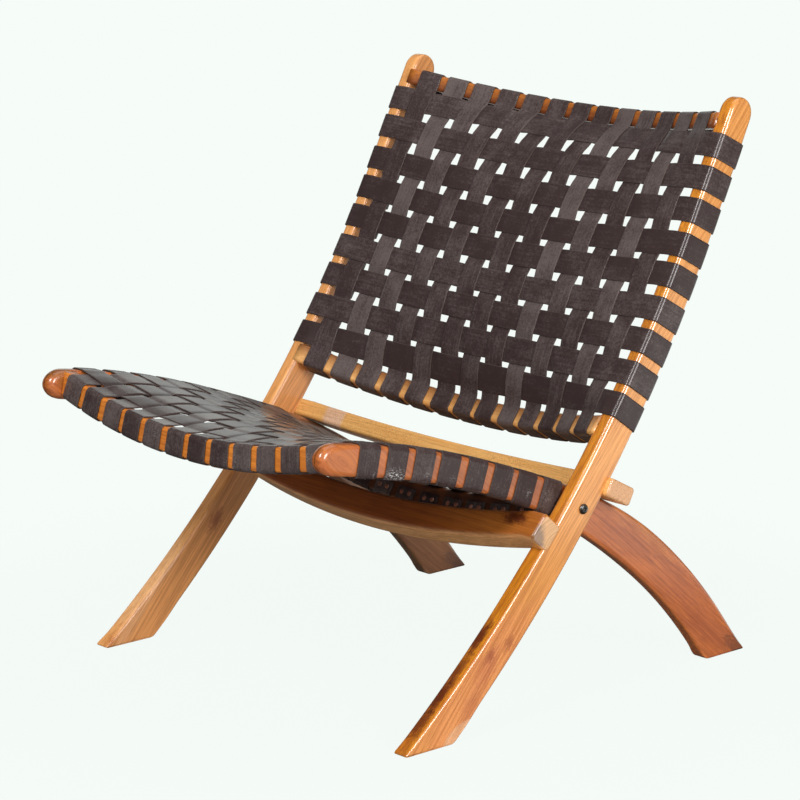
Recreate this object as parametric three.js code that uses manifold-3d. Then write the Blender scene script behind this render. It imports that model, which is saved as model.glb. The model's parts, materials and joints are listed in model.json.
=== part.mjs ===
// Folding lounge chair: two hardwood frames crossed on a pair of bolts, with a seat and back woven
// from leather straps.
// Millimetres. The front of the chair is towards -Y, +Z is up and the floor is z = 0.
// Left and right are those of someone who stands in front of the chair and looks at it, so right is +X.
import * as THREE from "three";
import { mergeVertices } from "three/addons/utils/BufferGeometryUtils.js";
import Module from "manifold-3d";

const wasm = await Module();
wasm.setup();

const radians = (degrees) => (degrees * Math.PI) / 180;

// Fit between pieces that touch.
const CLEARANCE = 0.3;

// Leather straps, all cut from one stock.
const STRAP_WIDTH = 32;
const STRAP_THICK = 2.5;
const WEAVE_CLEARANCE = 0.9;
const CROSSING_MARGIN = 0.8;
const STRAP_LEVEL = CLEARANCE + STRAP_THICK / 2;

// Back frame: each stile is one curved board from the front foot to the rounded top.
const OVERALL_WIDTH = 600;
const STILE_THICK = 22;
const STILE_DEPTH_FOOT = 51;
const STILE_DEPTH_TOP = 40.5;
const STILE_LENGTH = 927;
const STILE_FOOT_LEAN = radians(51.9);
const STILE_RADIUS = 1726;
const STILE_ARC_LENGTH = 758;
const EDGE_ROUND = 4;

// Seat frame: each seat rail is one board from the rounded front end, through the pivot, to the rear foot.
const SEAT_RAIL_THICK = 21;
const SEAT_DEPTH_FRONT = 37.7;
const SEAT_DEPTH_LEG = 57.8;
const SEAT_DEPTH_GROWS_FROM = -130;
const SEAT_DEPTH_GROWS_TO = 170;
const SEAT_RAIL_FRONT = 415;
const SEAT_ANGLE_AT_PIVOT = radians(25.84);
const SEAT_RADIUS = 1334;
const LEG_RADIUS = 734;
const LEG_ANGLE = radians(52.72);
const SIDE_PLAY = 1.5;

// The pivot: a bolt through stile and seat rail on each side.
const PIVOT_ALONG_STILE = 381.5;
const PIVOT_BEHIND_FRONT = 25.2;
const BOLT_RADIUS = 4;
const BOLT_RUNNING_FIT = 0.08;
const BOLT_HEAD_RADIUS = 6.5;
const BOLT_HEAD_HEIGHT = 4;
const SOCKET_RADIUS = 2.5;
const SOCKET_DEPTH = 2.2;
const WASHER_RADIUS = 10;
const NUT_RADIUS = 7;
const NUT_HEIGHT = 5;
const BOLT_END_RECESS = 0.5;

// Bowed cross rails that carry the lengthwise straps, tenoned into the side members.
const RAIL_THICK = 22;
const BACK_RAIL_DEPTH = 28.5;
const SEAT_CROSS_RAIL_DEPTH = 30;
const BACK_BOW = 54;
const SEAT_BOW = 34.5;
const BACK_BOTTOM_RAIL_ALONG = 480;
const BACK_TOP_RAIL_ALONG = 889.5;
const SEAT_FRONT_RAIL_ALONG = -374.5;
const SEAT_REAR_RAIL_ALONG = 31;
const SEAT_FRONT_RAIL_SUNK = 1.85;
const SEAT_REAR_RAIL_SUNK = 12.43;
const TENON_LENGTH = 14;
const TENON_WIDTH = 11;
const TENON_SHOULDER = 6;

// Weave counts.
const BACK_ROWS = 9;
const BACK_COLUMNS = 13;
const SEAT_ROWS = 8;
const SEAT_COLUMNS = 12;
const BACK_ROW_MARGIN = 4.5;
const SEAT_ROW_FRONT_MARGIN = 6.5;
const SEAT_ROW_REAR_MARGIN = 20.5;
const COLUMN_MARGIN = 0.8;
const TAIL_FROM_FACE = 0.36;
// The crosswise straps are taut, so within this length the weave comes forward out of the rails' bow.
// Those of the seat have given way under use, so the seat keeps more of the bow.
const BACK_WEAVE_REACH = 70;
const SEAT_WEAVE_REACH = 150;

// Support rail in front of the stiles, under the seat rails.
// Stop rail behind the stiles, over the rear legs.
const SUPPORT_WIDTH = 37;
const SUPPORT_LET_IN = 8;
const SUPPORT_BOW = 32;
const SUPPORT_CONTACT = -60.5;
const STOP_CENTRE = 57;
const STOP_LENGTH = 40;
const STOP_HEIGHT = 23.5;
const STOP_LET_IN = 5;
const STOP_BOW = 6;

const OUTER = OVERALL_WIDTH / 2;
const BACK_HALF = OUTER - STILE_THICK;
const SEAT_OUTER = BACK_HALF - STRAP_THICK - SIDE_PLAY;
const SEAT_HALF = SEAT_OUTER - SEAT_RAIL_THICK;

const wood = new THREE.MeshStandardMaterial({ color: 0xc98745, roughness: 0.4 });
const darkWood = new THREE.MeshStandardMaterial({ color: 0xa9683c, roughness: 0.4 });
const leather = new THREE.MeshStandardMaterial({ color: 0x3a302c, roughness: 0.6 });
const steel = new THREE.MeshStandardMaterial({ color: 0x55524f, roughness: 0.35, metalness: 0.9 });

const point = (x, y, z) => new THREE.Vector3(x, y, z);
const shifted = (p, direction, length) => p.clone().addScaledVector(direction, length);

// Solids.

// One closed solid from a list of triangles, turned to face out.
function solidFrom(points, faces) {
  let sixVolumes = 0;
  for (const [a, b, c] of faces) {
    sixVolumes += points[a].dot(points[b].clone().cross(points[c]));
  }
  const ordered = sixVolumes < 0 ? faces.map(([a, b, c]) => [a, c, b]) : faces;
  const mesh = new wasm.Mesh({
    numProp: 3,
    vertProperties: new Float32Array(points.flatMap((p) => p.toArray())),
    triVerts: new Uint32Array(ordered.flat()),
  });
  return new wasm.Manifold(mesh);
}

// A skin through rings of equally many points, closed with a flat cap at each end.
// The four-sided fields of one lengthwise strip can be split along their other diagonal.
function loft(rings, turnedStrip = -1) {
  const count = rings[0].length;
  const points = rings.flat();
  const faces = [];
  for (let k = 0; k + 1 < rings.length; k++) {
    for (let i = 0; i < count; i++) {
      const here = k * count + i;
      const next = k * count + ((i + 1) % count);
      if (i === turnedStrip) {
        faces.push([here, next, here + count], [next, next + count, here + count]);
      } else {
        faces.push([here, next, next + count], [here, next + count, here + count]);
      }
    }
  }
  const last = (rings.length - 1) * count;
  for (let i = 1; i + 1 < count; i++) {
    faces.push([0, i + 1, i], [last, last + i, last + i + 1]);
  }
  return solidFrom(points, faces);
}

// A solid from one of the plain shapes, after it has been moved into place.
function solidOf(geometry) {
  const bare = new THREE.BufferGeometry();
  const open = geometry.index ? geometry.toNonIndexed() : geometry;
  bare.setAttribute("position", open.getAttribute("position"));
  const merged = mergeVertices(bare, 1e-4);
  const place = merged.getAttribute("position");
  const points = [];
  for (let i = 0; i < place.count; i++) {
    points.push(point(place.getX(i), place.getY(i), place.getZ(i)));
  }
  const faces = [];
  for (let i = 0; i < merged.index.count; i += 3) {
    const face = [merged.index.getX(i), merged.index.getX(i + 1), merged.index.getX(i + 2)];
    if (new Set(face).size === 3) {
      faces.push(face);
    }
  }
  return solidFrom(points, faces);
}

// A box given by its centre, three unit axes and three half lengths.
function box(centre, axes, halves) {
  const ring = (side) =>
    [[-1, -1], [1, -1], [1, 1], [-1, 1]].map(([i, j]) => {
      const p = shifted(centre, axes[0], side * halves[0]);
      return p.addScaledVector(axes[1], i * halves[1]).addScaledVector(axes[2], j * halves[2]);
    });
  return loft([ring(-1), ring(1)]);
}

function named(name, solid, material) {
  const made = solid.getMesh();
  const geometry = new THREE.BufferGeometry();
  geometry.setAttribute("position", new THREE.BufferAttribute(new Float32Array(made.vertProperties), 3));
  geometry.setIndex(new THREE.BufferAttribute(new Uint32Array(made.triVerts), 1));
  const mesh = new THREE.Mesh(geometry.toNonIndexed(), material);
  mesh.geometry.computeVertexNormals();
  mesh.name = name;
  return mesh;
}

// A board's section: a rectangle with eased corners, in the plane of two unit axes.
function section(centre, across, deep, halfAcross, halfDeep, ease) {
  const cut = Math.min(ease, 0.8 * halfAcross, 0.8 * halfDeep);
  const a = halfAcross;
  const b = halfDeep;
  const corners = [
    [a - cut, b], [a, b - cut], [a, cut - b], [a - cut, -b],
    [cut - a, -b], [-a, cut - b], [-a, b - cut], [cut - a, b],
  ];
  return corners.map(([i, j]) => shifted(centre, across, i).addScaledVector(deep, j));
}

// Curves of the side members, in the YZ plane at x = 0.

// The stile's front edge, by length from the toe: an arc that grows steeper, then straight.
function stileAt(along) {
  const bent = Math.min(along, STILE_ARC_LENGTH);
  const lean = STILE_FOOT_LEAN - bent / STILE_RADIUS;
  const up = point(0, Math.sin(lean), Math.cos(lean));
  const forward = point(0, -Math.cos(lean), Math.sin(lean));
  const y = STILE_RADIUS * (Math.cos(lean) - Math.cos(STILE_FOOT_LEAN));
  const z = STILE_RADIUS * (Math.sin(STILE_FOOT_LEAN) - Math.sin(lean));
  const depth = STILE_DEPTH_FOOT + ((STILE_DEPTH_TOP - STILE_DEPTH_FOOT) * along) / STILE_LENGTH;
  return { p: shifted(point(0, y, z), up, along - bent), up, forward, depth };
}

// The centre of the stile's arc, in front of the chair.
const STILE_HUB = shifted(stileAt(0).p, stileAt(0).forward, STILE_RADIUS);

// The length along the stile and the distance in front of it, for a point near its curved part.
function onStile(p) {
  const spoke = STILE_HUB.clone().sub(p);
  const lean = Math.atan2(spoke.z, -spoke.y);
  return { along: (STILE_FOOT_LEAN - lean) * STILE_RADIUS, front: STILE_RADIUS - spoke.length() };
}

const pivotFoot = stileAt(PIVOT_ALONG_STILE);
const PIVOT = shifted(pivotFoot.p, pivotFoot.forward, -PIVOT_BEHIND_FRONT);

// The seat rail's middle line, by length from the pivot, negative towards the front.
function seatAt(along) {
  const radius = along < 0 ? SEAT_RADIUS : LEG_RADIUS;
  const bent = Math.min(along, (LEG_ANGLE - SEAT_ANGLE_AT_PIVOT) * LEG_RADIUS);
  const angle = SEAT_ANGLE_AT_PIVOT + bent / radius;
  const y = PIVOT.y + radius * (Math.sin(angle) - Math.sin(SEAT_ANGLE_AT_PIVOT));
  const z = PIVOT.z + radius * (Math.cos(angle) - Math.cos(SEAT_ANGLE_AT_PIVOT));
  const back = point(0, Math.cos(angle), -Math.sin(angle));
  const up = point(0, Math.sin(angle), Math.cos(angle));
  const growth = (along - SEAT_DEPTH_GROWS_FROM) / (SEAT_DEPTH_GROWS_TO - SEAT_DEPTH_GROWS_FROM);
  const ramp = THREE.MathUtils.smoothstep(growth, 0, 1);
  const depth = SEAT_DEPTH_FRONT + (SEAT_DEPTH_LEG - SEAT_DEPTH_FRONT) * ramp;
  return { p: shifted(point(0, y, z), back, along - bent), back, up, depth };
}

// Faces that the crosswise straps lie on: the stile's front and the seat rail's top, with their
// own directions.
function backFace(along) {
  const s = stileAt(along);
  return { p: s.p, along: s.up, out: s.forward, depth: s.depth };
}

function seatFace(along) {
  const top = (length) => {
    const s = seatAt(length);
    return shifted(s.p, s.up, s.depth / 2);
  };
  const along3 = top(along + 1).sub(top(along - 1)).normalize();
  return { p: top(along), along: along3, out: point(0, -along3.z, along3.y), depth: seatAt(along).depth };
}

// Boards.

// Spacing of the rings along a board, and how far boards and cutters run on past the face that ends them.
const STATION = 38;
const CUT_OVERRUN = 30;
const FOOT_OVERRUN = 15;

// Rings that close a board's end to a rounded nose.
function noseRings(ringAt, start, length) {
  return [25, 50, 70, 84].map((degrees) => {
    const turn = radians(degrees);
    return ringAt(start + length * Math.sin(turn), 0.6 + 0.4 * Math.cos(turn), Math.cos(turn));
  });
}

// Evenly spread numbers from first to last, about a station apart.
function spread(first, last, step = STATION) {
  const count = Math.ceil((last - first) / step);
  return Array.from({ length: count + 1 }, (_, i) => first + ((last - first) * i) / count);
}

const ACROSS = point(1, 0, 0);
const aboveFloor = (solid) => solid.trimByPlane([0, 0, 1], 0);

function stileBoard(side) {
  const middle = side * (OUTER - STILE_THICK / 2);
  const ringAt = (along, wide, deep) => {
    const s = stileAt(along);
    const centre = shifted(s.p, s.forward, -s.depth / 2);
    centre.x = middle;
    return section(centre, ACROSS, s.forward, (wide * STILE_THICK) / 2, (deep * s.depth) / 2, EDGE_ROUND);
  };
  const nose = STILE_DEPTH_TOP / 2;
  const rings = spread(-FOOT_OVERRUN, STILE_LENGTH - nose).map((along) => ringAt(along, 1, 1));
  return aboveFloor(loft([...rings, ...noseRings(ringAt, STILE_LENGTH - nose, nose)]));
}

function seatBoard(side) {
  const middle = side * (SEAT_OUTER - SEAT_RAIL_THICK / 2);
  const ringAt = (along, wide, deep) => {
    const s = seatAt(along);
    const centre = s.p.clone();
    centre.x = middle;
    return section(centre, ACROSS, s.up, (wide * SEAT_RAIL_THICK) / 2, (deep * s.depth) / 2, EDGE_ROUND);
  };
  const nose = SEAT_DEPTH_FRONT / 2;
  const arcEnd = (LEG_ANGLE - SEAT_ANGLE_AT_PIVOT) * LEG_RADIUS;
  const floorAlong = arcEnd + seatAt(arcEnd).p.z / Math.sin(LEG_ANGLE);
  const footEnd = floorAlong + SEAT_DEPTH_LEG / 2 / Math.tan(LEG_ANGLE) + FOOT_OVERRUN;
  const rings = spread(nose - SEAT_RAIL_FRONT, footEnd).map((along) => ringAt(along, 1, 1));
  const front = noseRings((ahead, wide, deep) => ringAt(-ahead, wide, deep), SEAT_RAIL_FRONT - nose, nose);
  return aboveFloor(loft([...front.reverse(), ...rings]));
}

// Woven panels.

// A panel hangs between two side faces and two bowed cross rails. Angles sweep the bow from side to side.
function makePanel(face, half, bow, reach, depth, columns, rails) {
  const radius = (half * half + bow * bow) / (2 * bow);
  const widest = Math.asin(half / radius);
  const hang = (angle) => (Math.cos(angle) - Math.cos(widest)) / (1 - Math.cos(widest));
  const ends = rails.map((rail) => {
    const f = face(rail.along);
    return { ...rail, f, p: shifted(f.p, f.out, -rail.sunk) };
  });
  const first = ends[0].along + RAIL_THICK / 2;
  const last = ends[1].along - RAIL_THICK / 2;
  // How far the weave's middle hangs behind the side faces: a skin stretched between the two bowed rails.
  const sag = (along) => {
    const share = (length) => Math.sinh(length / reach) / Math.sinh((last - first) / reach);
    return (bow + ends[0].sunk) * share(last - along) + (bow + ends[1].sunk) * share(along - first);
  };
  // Middle of the weave: on the side faces at the edges, and behind them by the sag in the middle.
  const middle = (angle, along) => {
    const f = face(along);
    const p = shifted(f.p, f.out, STRAP_LEVEL - sag(along) * hang(angle));
    p.x = radius * Math.sin(angle);
    return p;
  };
  const out = (angle, along) => {
    const across = middle(angle + 0.002, along).sub(middle(angle - 0.002, along));
    const lengthwise = middle(angle, along + 1).sub(middle(angle, along - 1));
    const normal = across.cross(lengthwise).normalize();
    return normal.dot(face(along).out) < 0 ? normal.negate() : normal;
  };
  // A cross rail's own frame at an angle: the middle of its outer face, and its outward direction.
  const railAt = (end, angle) => {
    const p = shifted(end.p, end.f.out, -bow * hang(angle));
    p.x = radius * Math.sin(angle);
    const normal = point(-Math.sin(angle), 0, 0).addScaledVector(end.f.out, Math.cos(angle));
    return { p, out: normal };
  };
  // The outermost columns stay clear of the side members where they pass behind the rails.
  const halfStrap = STRAP_WIDTH / 2 / radius;
  const rearRadius = radius + depth + CLEARANCE + STRAP_THICK;
  const outermost = Math.asin((half - COLUMN_MARGIN) / rearRadius) - halfStrap;
  const step = (2 * outermost) / (columns - 1);
  const columnAngle = (j) => (j - (columns - 1) / 2) * step;
  return { face, ends, middle, out, railAt, columnAngle, step, widest, halfStrap, columns, half, depth };
}

// A bowed cross rail with flat shoulders against the side members and a tenon at each end.
function crossRail(panel, end) {
  const { half, depth } = panel;
  const ringAt = (angle) => {
    const r = panel.railAt(end, angle);
    const centre = shifted(r.p, r.out, -depth / 2);
    return section(centre, end.f.along, r.out, RAIL_THICK / 2, depth / 2, EDGE_ROUND);
  };
  const angles = [-panel.widest - 2 * panel.halfStrap];
  for (let j = 0; j < panel.columns; j++) {
    angles.push(panel.columnAngle(j) - panel.halfStrap, panel.columnAngle(j) + panel.halfStrap);
  }
  angles.push(panel.widest + 2 * panel.halfStrap);
  const shoulder = half - CLEARANCE;
  let rail = loft(angles.map(ringAt)).trimByPlane([-1, 0, 0], -shoulder).trimByPlane([1, 0, 0], -shoulder);
  for (const side of [-1, 1]) {
    rail = rail.add(tenon(panel, end, side, 0));
  }
  return rail;
}

// The tenon, or with a gap the mortise that takes it.
function tenon(panel, end, side, gap) {
  const { half, depth } = panel;
  const r = panel.railAt(end, side * panel.widest);
  const centre = shifted(r.p, end.f.out, -depth / 2);
  centre.x = side * (half + (TENON_LENGTH - TENON_SHOULDER) / 2);
  const reach = (TENON_LENGTH + TENON_SHOULDER) / 2;
  const high = depth / 2 - TENON_SHOULDER;
  return box(centre, [ACROSS, end.f.along, end.f.out], [reach + gap, TENON_WIDTH / 2 + gap, high + gap]);
}

// Straps. Each station of a strap is its two edges, each with an inner and an outer point.

function strap(stations) {
  return loft(stations.map(([a, b]) => [a.inner, a.outer, b.outer, b.inner]), 3);
}

// The points of one strap edge that go round a board: outer edge, back and the tail on the inner face.
// Across points from the panel to the outer edge of the board, out is away from the panel's face.
function wrapEdge(corner, across, out, wide, deep) {
  const farFace = CLEARANCE + STRAP_THICK;
  const at = (i, j, towards) => ({
    inner: shifted(corner, across, i).addScaledVector(out, j).addScaledVector(towards, CLEARANCE),
    outer: shifted(corner, across, i).addScaledVector(out, j).addScaledVector(towards, farFace),
  });
  const backwards = out.clone().negate();
  const inwards = across.clone().negate();
  const cut = EDGE_ROUND;
  return [
    at(wide - cut, 0, out),
    at(wide, -cut, across),
    at(wide, cut - deep, across),
    at(wide - cut, -deep, backwards),
    at(cut, -deep, backwards),
    at(0, cut - deep, inwards),
    at(0, -TAIL_FROM_FACE * deep, inwards),
  ];
}

const edgeAt = (p, out) => ({
  inner: shifted(p, out, -STRAP_THICK / 2),
  outer: shifted(p, out, STRAP_THICK / 2),
});

// A crosswise strap: flat along the bow, and round the side member at each end.
function rowStrap(panel, along, wide) {
  const edges = [along - STRAP_WIDTH / 2, along + STRAP_WIDTH / 2];
  const wrap = (side) => {
    const both = edges.map((length) => {
      const f = panel.face(length);
      const corner = f.p.clone();
      corner.x = side * panel.half;
      return wrapEdge(corner, point(side, 0, 0), f.out, wide, f.depth);
    });
    return both[0].map((edge, i) => [edge, both[1][i]]);
  };
  const flat = [];
  const gaps = Array.from({ length: panel.columns + 1 }, (_, j) => panel.columnAngle(j - 0.5));
  for (const angle of [-panel.widest, ...gaps, panel.widest]) {
    const out = panel.out(angle * 0.999, along);
    flat.push(edges.map((length) => edgeAt(panel.middle(angle, length), out)));
  }
  return strap([...wrap(-1).reverse(), ...flat, ...wrap(1)]);
}

// A lengthwise strap: over and under the crosswise ones, and round the cross rail at each end.
function columnStrap(panel, j, rows, overFirst) {
  const angle = panel.columnAngle(j);
  const edges = [angle - panel.halfStrap, angle + panel.halfStrap];
  const wrap = (end, sign) => {
    const across = end.f.along.clone().multiplyScalar(sign);
    const both = edges.map((a) => {
      const r = panel.railAt(end, a);
      const corner = shifted(r.p, across, -RAIL_THICK / 2);
      return wrapEdge(corner, across, r.out, RAIL_THICK, panel.depth);
    });
    return both[0].map((edge, i) => [edge, both[1][i]]);
  };
  const lip = (end, sign) => {
    const r = panel.railAt(end, angle);
    return edges.map((a) => {
      const p = shifted(panel.railAt(end, a).p, end.f.along, (-sign * RAIL_THICK) / 2);
      return edgeAt(shifted(p, r.out, STRAP_LEVEL), r.out);
    });
  };
  const flat = [];
  rows.forEach((along, i) => {
    const over = (i + overFirst) % 2 === 0 ? 1 : -1;
    const out = panel.out(angle, along);
    const lift = over * (STRAP_THICK + WEAVE_CLEARANCE);
    for (const half of [-1, 1]) {
      const length = along + half * (STRAP_WIDTH / 2 + CROSSING_MARGIN);
      flat.push(edges.map((a) => edgeAt(shifted(panel.middle(a, length), out, lift), out)));
    }
  });
  const [low, high] = panel.ends;
  return strap([...wrap(low, -1).reverse(), lip(low, -1), ...flat, lip(high, 1), ...wrap(high, 1)]);
}

const railSpace = RAIL_THICK / 2;

const backRails = [
  { along: BACK_BOTTOM_RAIL_ALONG, sunk: 0 },
  { along: BACK_TOP_RAIL_ALONG, sunk: 0 },
];
const backPanel = makePanel(
  backFace, BACK_HALF, BACK_BOW, BACK_WEAVE_REACH, BACK_RAIL_DEPTH, BACK_COLUMNS, backRails,
);
const seatRails = [
  { along: SEAT_FRONT_RAIL_ALONG, sunk: SEAT_FRONT_RAIL_SUNK },
  { along: SEAT_REAR_RAIL_ALONG, sunk: SEAT_REAR_RAIL_SUNK },
];
const seatPanel = makePanel(
  seatFace, SEAT_HALF, SEAT_BOW, SEAT_WEAVE_REACH, SEAT_CROSS_RAIL_DEPTH, SEAT_COLUMNS, seatRails,
);

// Middles of equal straps that fill a length.
function rowsBetween(first, last, count) {
  const from = first + STRAP_WIDTH / 2;
  const to = last - STRAP_WIDTH / 2;
  return Array.from({ length: count }, (_, i) => from + ((to - from) * i) / (count - 1));
}

const backRows = rowsBetween(
  BACK_BOTTOM_RAIL_ALONG + railSpace + BACK_ROW_MARGIN,
  BACK_TOP_RAIL_ALONG - railSpace - BACK_ROW_MARGIN,
  BACK_ROWS,
);
const seatRows = rowsBetween(
  SEAT_FRONT_RAIL_ALONG + railSpace + SEAT_ROW_FRONT_MARGIN,
  -SEAT_ROW_REAR_MARGIN,
  SEAT_ROWS,
);

// The support rail: its top front edge takes the underside of the seat rails, its ends are let
// into the stiles.

function bar(centreAt, across, deep, halfAcross, halfDeep, half, reach) {
  const xs = [-reach, -half, ...spread(-half, half, 2 * STATION).slice(1, -1), half, reach];
  const rings = xs.map((x) => section(centreAt(x), across, deep, halfAcross, halfDeep, EDGE_ROUND));
  return loft(rings);
}

const bowAt = (x, half, bow) => (Math.abs(x) < half ? bow * (1 - (x / half) ** 2) : 0);

const underSeat = seatAt(SUPPORT_CONTACT);
const supportEdge = onStile(shifted(underSeat.p, underSeat.up, -underSeat.depth / 2 - CLEARANCE));
const supportMiddle = stileAt(supportEdge.along - SUPPORT_WIDTH / 2);
const supportDeep = supportEdge.front + SUPPORT_LET_IN;
const supportCentre = shifted(supportMiddle.p, supportMiddle.forward, supportEdge.front - supportDeep / 2);

function supportBar(reach, gap) {
  const centreAt = (x) => {
    const c = shifted(supportCentre, supportMiddle.up, -bowAt(x, BACK_HALF, SUPPORT_BOW));
    c.x = x;
    return c;
  };
  const wide = SUPPORT_WIDTH / 2 + gap;
  const deep = supportDeep / 2 + gap;
  return bar(centreAt, supportMiddle.up, supportMiddle.forward, wide, deep, BACK_HALF, reach);
}

// The stop rail: its underside lies on the rear legs' upper edge, its front edge is let into the
// stiles' backs.

const stopFace = seatFace(STOP_CENTRE);
const stopBase = shifted(stopFace.p, stopFace.out, CLEARANCE + STOP_HEIGHT / 2);
// Forwards along the seat rail, as far as the circle that the let-in edge reaches inside the stiles.
const stopReach = STILE_RADIUS + pivotFoot.depth - STOP_LET_IN;
const stopSpoke = stopBase.clone().sub(STILE_HUB);
const stopSlope = stopSpoke.dot(stopFace.along);
const stopFront = stopSlope - Math.sqrt(stopSlope ** 2 - stopSpoke.lengthSq() + stopReach ** 2);
const stopBack = STOP_LENGTH + STOP_LET_IN - stopFront;
const stopCentre = shifted(stopBase, stopFace.along, (stopBack - stopFront) / 2);

function stopBar(reach, gap) {
  const centreAt = (x) => {
    const c = shifted(stopCentre, stopFace.out, -bowAt(x, SEAT_HALF, STOP_BOW));
    c.x = x;
    return c;
  };
  const deep = (stopFront + stopBack) / 2 + gap;
  return bar(centreAt, stopFace.along, stopFace.out, deep, STOP_HEIGHT / 2 + gap, SEAT_HALF, reach);
}

// Bolts, washers and nuts on the pivot.

const ROUND_SIDES = 20;

// A turned piece on the pivot line, from pairs of radius and distance along +X.
function turned(profile, side) {
  const loop = profile.map(([radius, along]) => new THREE.Vector2(radius, along));
  const geometry = new THREE.LatheGeometry([...loop, loop[0].clone()], ROUND_SIDES);
  geometry.rotateZ(-Math.PI / 2);
  if (side < 0) {
    geometry.rotateY(Math.PI);
  }
  geometry.translate(0, PIVOT.y, PIVOT.z);
  return solidOf(geometry);
}

const nutFace = SEAT_HALF - CLEARANCE - NUT_HEIGHT;
const headFace = OUTER + CLEARANCE;
const boltEnd = nutFace + BOLT_END_RECESS;
const holeRadius = BOLT_RADIUS + BOLT_RUNNING_FIT;
const holeStart = nutFace - CUT_OVERRUN;
const holeEnd = headFace + CUT_OVERRUN;
const holeProfile = [[0, holeStart], [holeRadius, holeStart], [holeRadius, holeEnd], [0, holeEnd]];
const boltProfile = [
  [0, boltEnd], [BOLT_RADIUS, boltEnd], [BOLT_RADIUS, headFace], [BOLT_HEAD_RADIUS, headFace],
  [BOLT_HEAD_RADIUS, headFace + 0.3 * BOLT_HEAD_HEIGHT],
  [0.85 * BOLT_HEAD_RADIUS, headFace + 0.75 * BOLT_HEAD_HEIGHT],
  [0.6 * BOLT_HEAD_RADIUS, headFace + BOLT_HEAD_HEIGHT], [SOCKET_RADIUS, headFace + BOLT_HEAD_HEIGHT],
  [SOCKET_RADIUS, headFace + BOLT_HEAD_HEIGHT - SOCKET_DEPTH],
  [0, headFace + BOLT_HEAD_HEIGHT - SOCKET_DEPTH],
];
function ringProfile(inside, outside, from, to) {
  return [[inside, from], [outside, from], [outside, to], [inside, to]];
}

// The assembly.

const backFrame = [];
const seatFrame = [];

const SIDES = [["left", -1], ["right", 1]];
for (const [word, side] of SIDES) {
  const hole = turned(holeProfile, side);
  let stile = stileBoard(side).subtract(hole);
  stile = stile.subtract(supportBar(OUTER + CUT_OVERRUN, CLEARANCE));
  stile = stile.subtract(stopBar(OUTER + CUT_OVERRUN, CLEARANCE));
  for (const end of backPanel.ends) {
    stile = stile.subtract(tenon(backPanel, end, side, CLEARANCE));
  }
  backFrame.push(named("stile_" + word, stile, wood));

  let rail = seatBoard(side).subtract(hole);
  for (const end of seatPanel.ends) {
    rail = rail.subtract(tenon(seatPanel, end, side, CLEARANCE));
  }
  seatFrame.push(named("seat_rail_" + word, rail, darkWood));

  const washer = ringProfile(holeRadius, WASHER_RADIUS, SEAT_OUTER + CLEARANCE, BACK_HALF - CLEARANCE);
  const nut = ringProfile(holeRadius, NUT_RADIUS, nutFace, SEAT_HALF - CLEARANCE);
  backFrame.push(named("pivot_bolt_" + word, turned(boltProfile, side), steel));
  backFrame.push(named("pivot_washer_" + word, turned(washer, side), steel));
  backFrame.push(named("pivot_nut_" + word, turned(nut, side), steel));
}

const [backBottom, backTop] = backPanel.ends;
const [seatFront, seatRear] = seatPanel.ends;
backFrame.push(named("back_bottom_rail", crossRail(backPanel, backBottom), wood));
backFrame.push(named("back_top_rail", crossRail(backPanel, backTop), wood));
backFrame.push(named("front_support_rail", supportBar(OUTER, 0), wood));
backFrame.push(named("rear_stop_rail", stopBar(OUTER, 0), wood));
seatFrame.push(named("seat_front_rail", crossRail(seatPanel, seatFront), wood));
seatFrame.push(named("seat_rear_rail", crossRail(seatPanel, seatRear), wood));

const number = (i) => String(i + 1).padStart(2, "0");

// Rows count from the top of the back and from the front of the seat, columns from the left.
[...backRows].reverse().forEach((along, i) => {
  const row = rowStrap(backPanel, along, STILE_THICK);
  backFrame.push(named("back_row_" + number(i), row, leather));
});
seatRows.forEach((along, i) => {
  const row = rowStrap(seatPanel, along, SEAT_RAIL_THICK);
  seatFrame.push(named("seat_row_" + number(i), row, leather));
});
for (let j = 0; j < BACK_COLUMNS; j++) {
  const column = columnStrap(backPanel, j, backRows, (j + BACK_ROWS + 1) % 2);
  backFrame.push(named("back_column_" + number(j), column, leather));
}
for (let j = 0; j < SEAT_COLUMNS; j++) {
  const column = columnStrap(seatPanel, j, seatRows, (j + 1) % 2);
  seatFrame.push(named("seat_column_" + number(j), column, leather));
}

// The chair stands on the floor with the middle of its depth at y = 0.
const standing = new THREE.Group();
standing.add(...backFrame, ...seatFrame);
const extent = new THREE.Box3().setFromObject(standing);
standing.position.y = -(extent.min.y + extent.max.y) / 2;

const chair = new THREE.Group();
chair.add(standing);

export default chair;
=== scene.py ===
"""A folding lounge chair: two crossed frames of varnished teak that turn on one pair of bolts, with a
seat and a back woven from leather straps. Shapes are worked out in millimetres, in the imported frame."""

import json

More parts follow.
